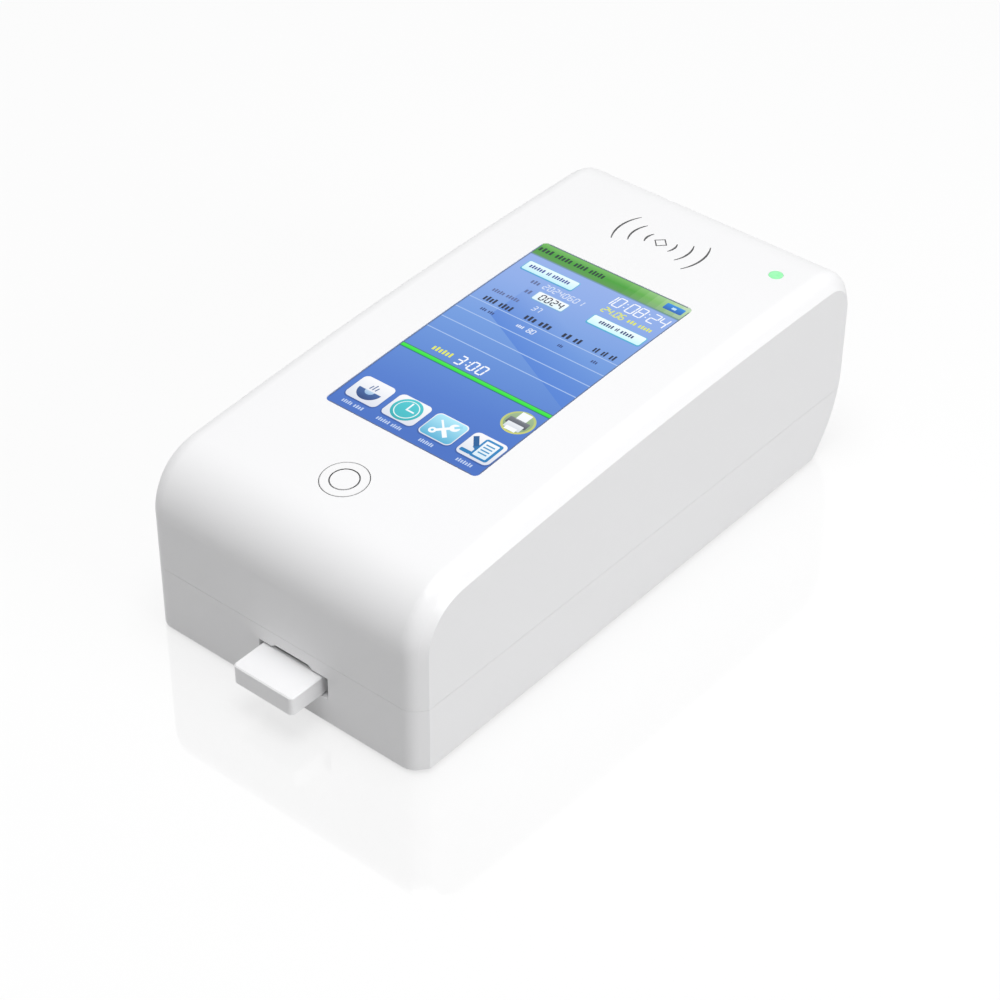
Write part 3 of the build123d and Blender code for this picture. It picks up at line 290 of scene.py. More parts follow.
def geometry_tree(name, kinds):
    """An empty modifier tree; kinds gives each named input its kind of socket."""
    tree = bpy.data.node_groups.new(name, "GeometryNodeTree")
    tree.interface.new_socket("Geometry", in_out="INPUT", socket_type="NodeSocketGeometry")
    for label, kind in kinds.items():
        tree.interface.new_socket(label, in_out="INPUT", socket_type="NodeSocket" + kind)
    tree.interface.new_socket("Geometry", in_out="OUTPUT", socket_type="NodeSocketGeometry")
    return tree, tree.nodes.new("NodeGroupInput").outputs, tree.nodes.new("NodeGroupOutput").inputs


def join(tree, kind, inputs=None, **settings):
    """Adds one geometry node; values may be sockets or plain numbers."""
    node = tree.nodes.new(kind)
    for name, value in settings.items():
        setattr(node, name, value)
    for key, value in (inputs or {}).items():
        if isinstance(value, bpy.types.NodeSocket):
            tree.links.new(value, node.inputs[key])
        else:
            node.inputs[key].default_value = value
    return node.outputs


def work_out(tree, operation, *terms):
    """One Math node of a tree, on sockets or plain numbers."""
    return join(tree, "ShaderNodeMath", dict(enumerate(terms)), operation=operation)[0]


def grown(name, tree, sizes):
    """Runs a tree on an empty mesh and keeps the result as a plain mesh object."""
    seed = stand(name + "_seed", bpy.data.meshes.new(name + "_seed"))
    modifier = seed.modifiers.new("grow", "NODES")
    modifier.node_group = tree
    for item in tree.interface.items_tree:
        if item.in_out == "INPUT" and item.name in sizes:
            modifier[item.identifier] = sizes[item.name]
    seen = seed.evaluated_get(bpy.context.evaluated_depsgraph_get())
    mesh = bpy.data.meshes.new_from_object(seen)
    mesh.name = name
    bpy.data.objects.remove(seed)
    return stand(name, mesh)


rolled_thread = milled("rolled_thread_steel", shade(176, 179, 184), 0.28, (1.0, 0.1, 1.0), 0.0003)

# One ridge climbs round the core, and is repeated for each start of the thread.
thread_tree, given, thread_result = geometry_tree(
    "screw_thread",
    {
        "Lead": "Float",
        "Starts": "Int",
        "Turns": "Float",
        "Core": "Float",
        "Ridge": "Float",
        "Start": "Vector",
        "Steel": "Material",
    },
)
helix = join(
    thread_tree,
    "GeometryNodeCurveSpiral",
    {
        "Resolution": thread_steps,
        "Rotations": given["Turns"],
        "Start Radius": given["Core"],
        "End Radius": given["Core"],
        "Height": work_out(thread_tree, "MULTIPLY", given["Lead"], given["Turns"]),
        "Reverse": True,
    },
)[0]
ridge = join(
    thread_tree,
    "GeometryNodeCurvePrimitiveCircle",
    {"Resolution": 4, "Radius": given["Ridge"]},
    mode="RADIUS",
)[0]
swept = join(
    thread_tree,
    "GeometryNodeCurveToMesh",
    {"Curve": helix, "Profile Curve": ridge, "Fill Caps": True},
)[0]
axis_points = join(
    thread_tree,
    "GeometryNodeMeshLine",
    {"Count": given["Starts"], "Offset": (0.0, 0.0, 0.0)},
    mode="OFFSET",
)[0]
start_number = join(thread_tree, "GeometryNodeInputIndex")[0]
start_share = work_out(thread_tree, "DIVIDE", start_number, given["Starts"])
start_angle = work_out(thread_tree, "MULTIPLY", start_share, 2 * pi)
start_turn = join(thread_tree, "ShaderNodeCombineXYZ", {"Z": start_angle})[0]
all_starts = join(
    thread_tree,
    "GeometryNodeInstanceOnPoints",
    {"Points": axis_points, "Instance": swept, "Rotation": start_turn},
)[0]
real_starts = join(thread_tree, "GeometryNodeRealizeInstances", {"Geometry": all_starts})[0]
laid_thread = join(
    thread_tree,
    "GeometryNodeTransform",
    {"Geometry": real_starts, "Translation": given["Start"], "Rotation": (-pi / 2, 0.0, 0.0)},
)[0]
steel_thread = join(
    thread_tree, "GeometryNodeSetMaterial", {"Geometry": laid_thread, "Material": given["Steel"]}
)[0]
thread_tree.links.new(steel_thread, thread_result["Geometry"])

thread_start = screw_low.y + tip_length
thread_length = screw_high.y - shank_length - thread_start
thread = grown(
    "screw_thread",
    thread_tree,
    {
        "Lead": thread_lead,
        "Starts": thread_starts,
        "Turns": thread_length / thread_lead,
        "Core": thread_core,
        "Ridge": ridge_height,
        "Start": (screw_centre.x, thread_start, screw_centre.z),
        "Steel": rolled_thread.material,
    },
)


def turned(name, centre, outline, finish, steps=48):
    """A closed piece turned about Y through centre; outline is (radius, y) pairs."""
    verts, faces = [], []
    for radius, y in outline:
        for k in range(steps):
            angle = 2 * pi * k / steps
            verts.append((centre.x + radius * sin(angle), y, centre.z + radius * cos(angle)))
    for ring in range(len(outline) - 1):
        for k in range(steps):
            a, b = ring * steps + k, ring * steps + (k + 1) % steps
            faces.append((a, b, b + steps, a + steps))
    faces.append(tuple(reversed(range(steps))))
    faces.append(tuple(range((len(outline) - 1) * steps, len(outline) * steps)))
    mesh = bpy.data.meshes.new(name)
    mesh.from_pydata(verts, [], faces)
    mesh.materials.append(finish.material)
    return stand(name, mesh)


screw_core = turned(
    "lead_screw_core",
    screw_centre,
    [
        (thread_outer - screw_bevel, screw_low.y),
        (thread_outer, screw_low.y + screw_bevel),
        (thread_outer, screw_low.y + tip_length),
        (thread_core, screw_low.y + tip_length + screw_bevel),
        (thread_core, screw_high.y - shank_length - screw_bevel),
        (thread_outer, screw_high.y - shank_length),
        (thread_outer, screw_high.y - screw_bevel),
        (thread_outer - screw_bevel, screw_high.y),
    ],
    rolled_thread,
)
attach(screw_core, "spindle")
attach(thread, "spindle")
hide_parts("lead_screw")

# --- Reading head and sensors -------------------------------------------------
# A black machined block under the bridge holds the lens, a slanted mirror and
# two filters, all of coated glass.  A light gate on the stage finds the carriage.
head_black = moulded("optics_block_black", shade(30, 30, 32), 0.6, 0.0003, 0.00001, 0.2)
dress(head_black, "optics_housing", "home_sensor")


def polished(name, tint):
    """Coated optical glass, with the coating's colour drifting across it."""
    drifts_per_metre = 180.0
    finish = Finish(name, {"IOR": 1.52, "Transmission Weight": 0.85, "Coat Roughness": 0.02})
    drift = finish.noise(finish.place(), drifts_per_metre, 1.0)
    cooler = (tint[0] * 0.8, tint[1] * 0.9, tint[2], 1.0)
    finish.vary("Base Color", finish.mix(drift, cooler, tint))
    finish.vary("Roughness", drift * 0.02 + 0.02)
    finish.vary("Coat Weight", drift * 0.3 + 0.5)
    return finish


dress(polished("lens_glass", shade(226, 236, 250)), "objective_lens")
dress(polished("mirror_glass", shade(250, 214, 150)), "dichroic_mirror")
dress(polished("emission_filter_glass", shade(240, 96, 70)), "emission_filter")
dress(polished("excitation_filter_glass", shade(70, 96, 224)), "excitation_filter")

# --- Circuit boards -----------------------------------------------------------
# The main board and the small boards are glass-fibre laminate under a green
# solder mask.  Most hang from posts in the upper case; two sit on the reading
# head, and one rests on lugs of the rear panel.


def board(name, mask, track):
    """A circuit board: copper tracks show faintly through the solder mask."""
    tracks_per_metre, track_share, clouds_per_metre = 260.0, 0.09, 300.0
    finish = Finish(name, {"IOR": 1.5})
    place = finish.place()
    rows = finish.add(
        "ShaderNodeTexBrick",
        {"offset": 0.5, "squash": 1.0},
        {
            "Vector": place,
            "Scale": tracks_per_metre,
            "Mortar Size": track_share,
            "Color1": mask,
            "Color2": mask,
            "Mortar": track,
        },
    )
    cloud = finish.noise(place, clouds_per_metre, 2.0)
    finish.vary("Base Color", finish.mix(cloud * 0.3, rows, mask))
    finish.vary("Roughness", cloud * 0.12 + 0.26)
    finish.grain(cloud, 0.000005)
    return finish


green_board = board("green_circuit_board", shade(18, 92, 58), shade(40, 128, 84))
dress(green_board, "emitter", "sensor_board", "main_board", "button_board", "led_board")
dress(green_board, "antenna_board", "port_board")

# --- Cells --------------------------------------------------------------------
# Two rechargeable cells in blue heat-shrink sleeves lie in a black moulded
# cradle on the floor of the case.
wrinkles_per_metre, wrinkle_depth = 420.0, 0.00002
cell_sleeve = Finish("cell_blue_sleeve", {"IOR": 1.48, "Coat Roughness": 0.1})
drawn_sleeve = cell_sleeve.add(
    "ShaderNodeMapping", {}, {"Vector": cell_sleeve.place(), "Scale": (0.1, 1.0, 1.0)}
)
wrinkle = cell_sleeve.noise(drawn_sleeve, wrinkles_per_metre, 3.0)
cell_sleeve.vary("Base Color", cell_sleeve.mix(wrinkle, shade(20, 74, 140), shade(38, 104, 182)))
cell_sleeve.vary("Roughness", wrinkle * 0.15 + 0.2)
cell_sleeve.grain(wrinkle, wrinkle_depth)
dress(cell_sleeve, "battery_cells")
cradle_black = moulded("cradle_black", shade(40, 40, 42), 0.5, 0.0005, 0.00001, 0.15)
dress(cradle_black, "battery_cradle")

# --- Buzzer and key switch ----------------------------------------------------
# The buzzer and the switch under the key are bought parts in black moulded
# shells, soldered to their boards; a black plunger stands between key and switch.
dress(cradle_black, "buzzer", "button_switch", "switch_plunger")

# --- Rear panel and sockets ---------------------------------------------------
# A dark grey moulded panel closes the recess in the rear wall.  The barrel socket
# and the switch bezel are black; the data socket is a drawn steel shell.
rear_grey = moulded("rear_panel_grey", shade(74, 76, 80), 0.5, 0.0004, 0.00001, 0.08)
dress(rear_grey, "rear_panel")
socket_black = moulded("socket_black", shade(30, 30, 32), 0.32, 0.0004, 0.000004, 0.1)
dress(socket_black, "dc_jack", "rocker_frame")
drawn_shell = milled("drawn_socket_shell", shade(206, 208, 212), 0.24, (1.0, 0.1, 1.0), 0.0004)
dress(drawn_shell, "usb_port")

# --- Power rocker -------------------------------------------------------------
# A glossy black moulded rocker tips on two pins in the bezel of the power switch.
# Its ends carry a stroke for on and a circle for off, printed in pale grey.
rocker_low, rocker_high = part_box("rocker")
mark_reach, mark_size, mark_line = 0.0042, 0.0012, 0.00034
face_depth = 0.0035
rocker_black = moulded("rocker_gloss_black", shade(24, 24, 26), 0.18, 0.0006, 0.000002, 0.1)
rocker_x, rocker_y, rocker_z = rocker_black.coordinates()
rocker_x = rocker_x - (rocker_low.x + rocker_high.x) / 2
rocker_z = rocker_z - (rocker_low.z + rocker_high.z) / 2
off_side = rocker_x - mark_reach
off_radius = (off_side * off_side + rocker_z * rocker_z) ** 0.5
off_mark = abs(off_radius - mark_size) < mark_line / 2
on_mark = (abs(rocker_x + mark_reach) < mark_line / 2) * (abs(rocker_z) < mark_size)
outward = rocker_y > rocker_high.y - face_depth
rocker_black.vary(
    "Base Color",
    rocker_black.mix((off_mark + on_mark) * outward, rocker_black.skin(), shade(226, 226, 226)),
)
dress(rocker_black, "rocker")

# --- Upper case ---------------------------------------------------------------
# The upper half is moulded in the same white ABS.  Behind the display a fine
# dark-grey mark, pad printed, shows where a tag is held: a lozenge between arcs.
front_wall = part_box("bottom_cover")[0].y
mark_x = -0.001
mark_y = front_wall + 0.1652
arc_count = 3
arc_pitch = 0.0049
arc_line = 0.00068
arc_thinning = 0.55
arc_half_angle = radians(30)
lozenge_reach = 0.0021
lozenge_line = 0.00055
skin_floor = 0.055
print_grey = shade(64, 64, 66)

upper_case = moulded(
    "upper_case_white", white_abs, case_gloss, case_grain, case_grain_depth, case_uneven
)
top_x, top_y, top_z = upper_case.coordinates()
beside = abs(top_x - mark_x)
along = abs(top_y - mark_y)
reach = (beside * beside + along * along) ** 0.5
ring = reach / arc_pitch
off_ring = abs(ring - round(ring)) * arc_pitch
swing = along / (reach * sin(arc_half_angle))
stroke = (1 - swing * swing * arc_thinning) * (arc_line / 2)
arcs = (off_ring < stroke) * (ring > 0.5) * (ring < arc_count + 0.5) * (swing < 1.0)
lozenge = abs(beside + along - lozenge_reach) < lozenge_line / 2
printed = (arcs + lozenge) * (top_z > skin_floor)
upper_case.vary("Base Color", upper_case.mix(printed, upper_case.skin(), print_grey))
dress(upper_case, "top_cover")

# --- Display panel ------------------------------------------------------------
# The colour panel is a flat module in a thin metal case.  A punched sheet
# bracket, screwed to posts of the upper case, holds it under the window.
panel_tin = milled("display_panel_tin", shade(200, 202, 206), 0.34, (0.1, 1.0, 1.0))
dress(panel_tin, "lcd_module", "lcd_bracket")

# --- Display glass ------------------------------------------------------------
# A clear lens bonded over the lit panel and set a little below the skin.  The
# panel's blue ground brightens towards the rear, with one pale sweep across it.
glass_low, glass_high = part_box("display_glass")
window_left, window_front = glass_low.x, glass_low.y
window_width = glass_high.x - glass_low.x
window_length = glass_high.y - glass_low.y
ground_lean = 0.06
sweep_slope, sweep_start, sweep_left = 0.277, 0.657, 0.2
sweep_fade, sweep_depth = 5.0, 0.75

unlit = {"Base Color": shade(12, 14, 20), "Specular IOR Level": 0.25, "Emission Strength": 1.0}
lit_glass = Finish("display_lit_glass", unlit)
glass_x, glass_y, _ = lit_glass.coordinates()
rearward = (glass_y - window_front) / window_length
rightward = (glass_x - window_left) / window_width
ground = lit_glass.add(
    "ShaderNodeValToRGB",
    {
        "stops": [
            (0.0, shade(66, 110, 194)),
            (0.18, shade(76, 121, 204)),
            (0.36, shade(92, 137, 212)),
            (0.55, shade(108, 152, 220)),
            (0.78, shade(136, 168, 229)),
            (1.0, shade(150, 176, 232)),
        ]
    },
    {0: rearward - rightward * ground_lean},
)
past_sweep = rearward + rightward * sweep_slope - sweep_start
fade = lit_glass.add("ShaderNodeMath", {"operation": "MAXIMUM"}, (1 - past_sweep * sweep_fade, 0.0))
shadowed = (past_sweep > 0.0) * (rightward > sweep_left) * fade * sweep_depth
lit_glass.vary("Emission Color", lit_glass.mix(shadowed, ground, shade(72, 124, 212)))
glint = lit_glass.noise(lit_glass.place(), 40.0, 2.0)
lit_glass.vary("Roughness", glint * 0.04 + 0.12)
dress(lit_glass, "display_glass")

# --- Picture on the display ---------------------------------------------------
# What the panel shows: title bar, clock, keys, a ruled table, a timer and four
# tiles, with a thin line of painted shade round the window.  Each shape is a thin lit plate on the
# lens, its colours in an attribute.
glass_sink = 0.00025
case_length = 0.195
front_height, rear_height, top_rise = 0.0568, 0.0644, 0.00284
half_chord = hypot(case_length, rear_height - front_height) / 2
arch_radius = (half_chord**2 + top_rise**2) / (2 * top_rise)
tilt = atan2(rear_height - front_height, case_length)
arch_y = front_wall + case_length / 2 + (arch_radius - top_rise) * sin(tilt)
arch_z = (front_height + rear_height) / 2 - (arch_radius - top_rise) * cos(tilt)
plate = 0.00002
layer_step = 0.00003


def glass_height(y, lift):
    """Height of the lens at y, or lift above it."""
    return arch_z + sqrt((arch_radius - glass_sink + lift) ** 2 - (y - arch_y) ** 2)


picture_ink = Finish("display_picture_light", unlit)
tint = picture_ink.add("ShaderNodeAttribute", {"attribute_name": "tint"}, output="Color")
shimmer = picture_ink.noise(picture_ink.place(), 900.0, 1.0)
picture_ink.vary("Emission Color", picture_ink.mix(shimmer * 0.04, tint, shade(120, 160, 225)))
picture_ink.vary("Roughness", shimmer * 0.05 + 0.12)


class Picture:
    """Shapes in millimetres from the window's front left corner, laid on the lens."""

    def __init__(self, name):
        self.name = name
        self.verts, self.faces, self.tints = [], [], []

    def shape(self, outline, layer, tint, rear_tint=None):
        """One closed outline; the tint may run to rear_tint at its rear edge."""
        if sum(a[0] * b[1] - b[0] * a[1] for a, b in zip(outline, outline[1:] + outline[:1])) < 0:
            outline = outline[::-1]
        first, count = len(self.verts), len(outline)
        low = min(v for _, v in outline)
        span = max(v for _, v in outline) - low or 1.0
        for lift in (layer * layer_step, layer * layer_step + plate):
            for u, v in outline:
                x, y = window_left + u / 1000, window_front + v / 1000
                self.verts.append((x, y, glass_height(y, lift)))
                share = (v - low) / span
                self.tints.append([a + (b - a) * share for a, b in zip(tint, rear_tint or tint)])
        self.faces.append(tuple(reversed(range(first, first + count))))
        self.faces.append(tuple(range(first + count, first + 2 * count)))
        for k in range(count):
            a, b = first + k, first + (k + 1) % count
            self.faces.append((a, b, b + count, a + count))

    def block(self, u, v, width, height, layer, tint, rear_tint=None, corner=0.0):
        """A rectangle from its front left corner, with rounded corners if wanted."""
        right, rear = u + width, v + height
        outline = [(u, v), (right, v), (right, rear), (u, rear)]
        if corner:
            outline = []
            for cu, cv, start in (
                (right - corner, rear - corner, 0),
                (u + corner, rear - corner, 90),
                (u + corner, v + corner, 180),
                (right - corner, v + corner, 270),
            ):
                for step in range(7):
                    angle = radians(start + step * 15)
                    outline.append((cu + corner * cos(angle), cv + corner * sin(angle)))
        self.shape(outline, layer, tint, rear_tint)

    def disc(self, u, v, radius, layer, tint, rear_tint=None, first=0, last=360):
        """A disc, or the part of one between two angles."""
        steps = max(6, (last - first) // 9)
        points = steps if last - first == 360 else steps + 1
        angles = [radians(first + (last - first) * k / steps) for k in range(points)]
        outline = [(u + radius * cos(angle), v + radius * sin(angle)) for angle in angles]
        self.shape(outline, layer, tint, rear_tint)

    def bar(self, start, end, width, layer, tint):
        """A straight stroke between two points."""
        du, dv = end[0] - start[0], end[1] - start[1]
        length = hypot(du, dv)
        nu, nv = -dv / length * width / 2, du / length * width / 2
        outline = [
            (start[0] + nu, start[1] + nv),
            (start[0] - nu, start[1] - nv),
            (end[0] - nu, end[1] - nv),
            (end[0] + nu, end[1] + nv),
        ]
        self.shape(outline, layer, tint)

    def figures(self, text, u, v, height, layer, tint, weight=0.16, lean=0.12, pitch=0.72):
        """Seven-bar figures, as a segment display draws them."""
        bars = {
            "0": "abcdef", "1": "bc", "2": "abged", "3": "abgcd", "4": "fgbc",
            "5": "afgcd", "6": "afgedc", "7": "abc", "8": "abcdefg", "9": "gfabcd",
        }
        ends = {
            "a": ((0, 1), (1, 1)), "b": ((1, 1), (1, 0.5)), "c": ((1, 0.5), (1, 0)),
            "d": ((0, 0), (1, 0)), "e": ((0, 0.5), (0, 0)), "f": ((0, 1), (0, 0.5)),
            "g": ((0, 0.5), (1, 0.5)),
        }
        dots = {":": (0.3, 0.7), ".": (0.08,)}
        wide, stroke = height * 0.5, height * weight
        for mark in text:
            for name in bars.get(mark, ""):
                (u0, v0), (u1, v1) = ends[name]
                a = (u + u0 * wide + v0 * height * lean, v + v0 * height)
                b = (u + u1 * wide + v1 * height * lean, v + v1 * height)
                trim = stroke * 0.28 / hypot(b[0] - a[0], b[1] - a[1])
                cut = ((b[0] - a[0]) * trim, (b[1] - a[1]) * trim)
                start, end = (a[0] + cut[0], a[1] + cut[1]), (b[0] - cut[0], b[1] - cut[1])
                self.bar(start, end, stroke, layer, tint)
            for share in dots.get(mark, ()):
                left, low = u + height * (0.02 + lean * share), v + height * share - stroke / 2
                self.block(left, low, stroke, stroke, layer, tint)
            u += height * (0.32 if mark in dots else pitch)

    def words(self, u, v, lengths, height, layer, tint):
        """Blank captions: rows of small upright ticks in groups, no letters."""
        for length in lengths:
            count = max(2, round(length / (height * 0.54)))
            pitch = length / count
            for k in range(count):
                tall = height * (0.96 if k % 2 else 0.8)
                self.block(u + k * pitch, v, pitch * 0.6, tall, layer, tint)
            u += length + height * 0.45

    def finish(self, body):
        mesh = bpy.data.meshes.new(self.name)
        mesh.from_pydata(self.verts, [], self.faces)
        colours = mesh.color_attributes.new("tint", "FLOAT_COLOR", "POINT")
        colours.data.foreach_set("color", [c for t in self.tints for c in t])
        mesh.materials.append(picture_ink.material)
        piece = stand(self.name, mesh)
        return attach(piece, body)


picture_width, picture_length = 54.1, 95.1
white = shade(250, 252, 255)
navy = shade(28, 44, 110)
yellow = shade(226, 232, 90)
soft_grey = shade(92, 104, 150)
pale_blue = shade(214, 224, 246)
ice_white = shade(226, 234, 250)
heading_black = shade(12, 18, 44)
entry_blue = shade(50, 66, 120)

# Title bar in green that pales to the right, with a blue charge key on it.
title = Picture("display_title_bar")
title_columns = 18
column = picture_width / title_columns
for k in range(title_columns):
    pale = max(0.0, (k - 10.5) / 7.0)
    low_green = shade(84 + 80 * pale, 150 + 40 * pale, 62 + 100 * pale)
    mid_green = shade(62 + 124 * pale, 158 + 58 * pale, 24 + 144 * pale)
    high_green = shade(116 + 84 * pale, 186 + 36 * pale, 88 + 100 * pale)
    title.block(k * column, 88.8, column, 3.0, 1, low_green, mid_green)
    title.block(k * column, 91.8, column, 3.3, 1, mid_green, high_green)
title.block(0.0, 88.1, picture_width, 0.7, 1, shade(124, 156, 196), shade(88, 140, 96))
title.words(0.7, 90.8, (5.2, 6.0, 4.6, 5.4), 2.2, 2, shade(10, 44, 24))
title.block(46.4, 90.5, 6.4, 3.0, 2, shade(24, 92, 178), shade(40, 140, 224), corner=0.4)
title.block(48.9, 91.5, 1.4, 1.0, 3, shade(190, 226, 250))

# A thin grey line of painted shade, for the shadow where the lens meets the case, follows the four
# edges of the window, clear of its corners.
gap_shade_grey = shade(96, 104, 124)
gap_shade_width, gap_shade_pieces, corner_gap = 0.28, 16, 1.8
gap_shade_step = (picture_length - 2 * corner_gap) / gap_shade_pieces
for k in range(gap_shade_pieces):
    for u in (0.0, picture_width - gap_shade_width):
        title.block(u, corner_gap + k * gap_shade_step, gap_shade_width, gap_shade_step, 4, gap_shade_grey)
for v in (0.0, picture_length - gap_shade_width):
    title.block(corner_gap, v, picture_width - 2 * corner_gap, gap_shade_width, 4, gap_shade_grey)
title.finish("case")

# Clock, date and the pale keys beside the sample data.
clock = Picture("display_clock")
clock.figures("10:08:24", 31.4, 82.2, 4.6, 2, white, 0.085, 0.08, 0.68)
clock.figures("24.06", 33.8, 78.2, 2.5, 2, yellow)
clock.words(43.0, 78.4, (3.2, 4.6), 1.7, 2, yellow)
clock.block(33.8, 71.0, 19.0, 4.9, 2, shade(70, 170, 206), shade(96, 190, 220), corner=0.7)
clock.block(34.1, 71.5, 18.4, 4.2, 3, shade(206, 248, 250), shade(244, 254, 255), corner=0.6)
clock.words(37.2, 73.0, (5.0, 1.2, 4.6), 1.6, 4, navy)
clock.block(2.5, 80.0, 19.0, 5.2, 2, shade(74, 160, 206), shade(110, 190, 222), corner=0.7)
clock.block(2.8, 80.5, 18.4, 4.5, 3, shade(198, 242, 248), shade(238, 252, 254), corner=0.6)
clock.words(4.3, 82.2, (5.6, 1.4, 6.2), 1.7, 4, shade(44, 60, 150))
clock.words(9.6, 76.4, (3.2,), 1.8, 2, soft_grey)
clock.figures("20240601", 14.0, 76.3, 2.3, 2, pale_blue, 0.15, 0.1, 0.8)
clock.words(11.2, 71.6, (2.4,), 1.9, 2, soft_grey)
clock.block(14.5, 70.2, 11.4, 4.7, 2, shade(120, 170, 214), shade(150, 190, 226), corner=0.6)
clock.block(14.8, 70.6, 10.8, 4.0, 3, shade(226, 246, 250), white, corner=0.5)
clock.figures("0024", 16.6, 71.3, 2.6, 4, shade(26, 30, 52), 0.16, 0.06, 0.82)
clock.words(3.6, 66.4, (4.4, 4.6), 1.6, 2, soft_grey)
clock.figures("37", 18.2, 66.2, 2.1, 2, pale_blue, 0.15)
clock.finish("case")

# The table: dark headings over pale rules, and one row of entries.
table = Picture("display_table")
headings = ((4.2, (4.6, 4.8)), (19.3, (4.2, 4.4)), (33.0, (3.0, 2.6)), (44.0, (1.8, 1.8, 2.0)))
for u, lengths in headings:
    table.words(u, 61.5, lengths, 2.4, 2, heading_black)
entries = (
    (6.8, (2.2, 2.2), entry_blue),
    (20.0, (2.6,), ice_white),
    (34.9, (1.8,), entry_blue),
    (46.8, (2.2,), entry_blue),
)
for u, lengths, colour in entries:
    table.words(u, 57.3, lengths, 1.3, 2, colour)
table.figures("80", 23.8, 57.1, 1.9, 2, ice_white)
table.finish("case")

# Timer and the bright green line below it, with the round printer key at the right.
timer = Picture("display_timer")
timer.words(8.4, 34.6, (7.2,), 2.1, 2, yellow)
timer.figures("3:00", 17.2, 33.7, 3.9, 2, white, 0.13, 0.1, 0.82)
timer.block(0.0, 30.6, picture_width, 1.9, 1, shade(30, 110, 90), shade(60, 130, 110))
timer.block(0.0, 30.9, picture_width, 1.2, 2, shade(10, 222, 20), shade(60, 236, 60))
timer.disc(48.4, 24.3, 4.9, 1, shade(206, 208, 110), shade(180, 200, 120))
timer.disc(48.4, 24.3, 4.2, 2, shade(134, 160, 120), shade(160, 188, 140))
timer.block(46.7, 25.2, 3.4, 3.4, 3, shade(244, 248, 250), white)
timer.block(45.0, 22.6, 6.8, 2.8, 3, shade(70, 74, 80), shade(120, 124, 130), corner=0.4)
timer.block(45.7, 20.9, 5.4, 2.6, 4, shade(214, 220, 224), shade(236, 240, 244), corner=0.3)
timer.block(46.6, 20.2, 3.6, 1.5, 5, white)
timer.finish("case")

# Four rounded tiles, each with a rim round it and a caption in front of it.
tiles = Picture("display_tiles")
tile_wide, tile_tall, tile_low = 11.3, 9.9, 5.0
tile_lefts = (2.2, 15.4, 28.7, 42.1)
tile_captions = ((3.6, 3.4), (4.6, 3.6), (5.0,), (5.6,))
caption_gap = 0.6
rim_low, rim_high = shade(52, 88, 160), shade(88, 126, 196)
tile_front, tile_rear = shade(222, 226, 236), shade(250, 250, 251)
for left in tile_lefts:
    tiles.block(
        left - 0.25, tile_low - 0.5, tile_wide + 0.5, tile_tall + 0.6, 1, rim_low, rim_high, 1.9
    )
    tiles.block(left, tile_low, tile_wide, tile_tall, 2, tile_front, tile_rear, 1.7)

# A dish with three rising strokes.
middle, level = tile_lefts[0] + 5.6, tile_low + 5.0
tiles.disc(middle, level, 3.9, 3, shade(30, 62, 120), shade(60, 98, 160), 180, 360)
tiles.disc(middle, level, 1.6, 4, shade(140, 180, 220), shade(190, 214, 236), 180, 360)
for aside, tall in ((-1.0, 1.6), (0.0, 2.3), (1.0, 1.6)):
    foot = (middle + aside, level + 0.7)
    tiles.bar(foot, (foot[0] + 0.3, foot[1] + tall), 0.36, 3, shade(70, 100, 150))

# A clock face.
middle = tile_lefts[1] + 5.6
tiles.disc(middle, level, 4.6, 3, shade(40, 170, 176), shade(70, 200, 206))
tiles.disc(middle, level, 3.7, 4, shade(236, 250, 250))
tiles.disc(middle, level, 3.4, 5, shade(60, 186, 194), shade(74, 200, 208))
tiles.bar((middle, level - 0.3), (middle, level + 3.0), 0.5, 6, white)
tiles.bar((middle - 0.2, level - 0.05), (middle + 2.6, level - 0.05), 0.5, 6, white)

# A wrench and a screwdriver, crossed.
left = tile_lefts[2]
tiles.block(
    left + 0.3, tile_low + 0.35, tile_wide - 0.6, tile_tall - 0.7, 3,
    shade(84, 176, 212), shade(176, 234, 250), 1.5,
)
middle, level = left + 5.6, tile_low + 4.9
tiles.bar((middle - 2.2, level - 2.2), (middle + 1.8, level + 1.8), 1.0, 4, white)
tiles.disc(middle + 2.2, level + 2.1, 1.5, 4, white)
tiles.bar((middle + 2.1, level + 2.0), (middle + 3.7, level + 3.6), 0.95, 5, shade(150, 220, 242))
tiles.disc(middle - 2.2, level - 2.1, 1.15, 5, white)
tiles.disc(middle - 2.2, level - 2.1, 0.45, 6, shade(110, 196, 226))
tiles.bar((middle - 2.7, level + 2.7), (middle + 0.4, level - 0.4), 0.6, 6, white)
tiles.bar((middle + 0.4, level - 0.4), (middle + 2.6, level - 2.6), 1.3, 6, white)

# A written sheet with a pencil beside it.
left = tile_lefts[3]
sheet_blue = shade(26, 122, 184)
tiles.block(left + 4.2, tile_low + 0.9, 6.0, 8.1, 3, sheet_blue, shade(34, 136, 196), corner=0.8)
tiles.block(left + 4.9, tile_low + 1.7, 4.4, 6.5, 4, shade(218, 238, 248), white, corner=0.3)
for line in range(4):
    tiles.block(left + 5.6, tile_low + 3.0 + line * 1.2, 3.0, 0.5, 5, shade(70, 150, 196))
tiles.bar((left + 1.2, tile_low + 8.0), (left + 3.9, tile_low + 4.7), 1.6, 6, shade(22, 90, 150))
pencil_tip = [(left + 3.1, tile_low + 4.1), (left + 4.9, tile_low + 3.2), (left + 4.6, tile_low + 5.3)]
tiles.shape(pencil_tip, 6, shade(32, 112, 172))
tiles.block(left + 0.8, tile_low + 1.0, 3.6, 1.3, 5, sheet_blue, corner=0.4)

for left, lengths in zip(tile_lefts, tile_captions):
    wide = sum(lengths) + caption_gap * (len(lengths) - 1)
    tiles.words(left + (tile_wide - wide) / 2, 2.2, lengths, 1.4, 2, shade(190, 208, 240))
tiles.finish("case")

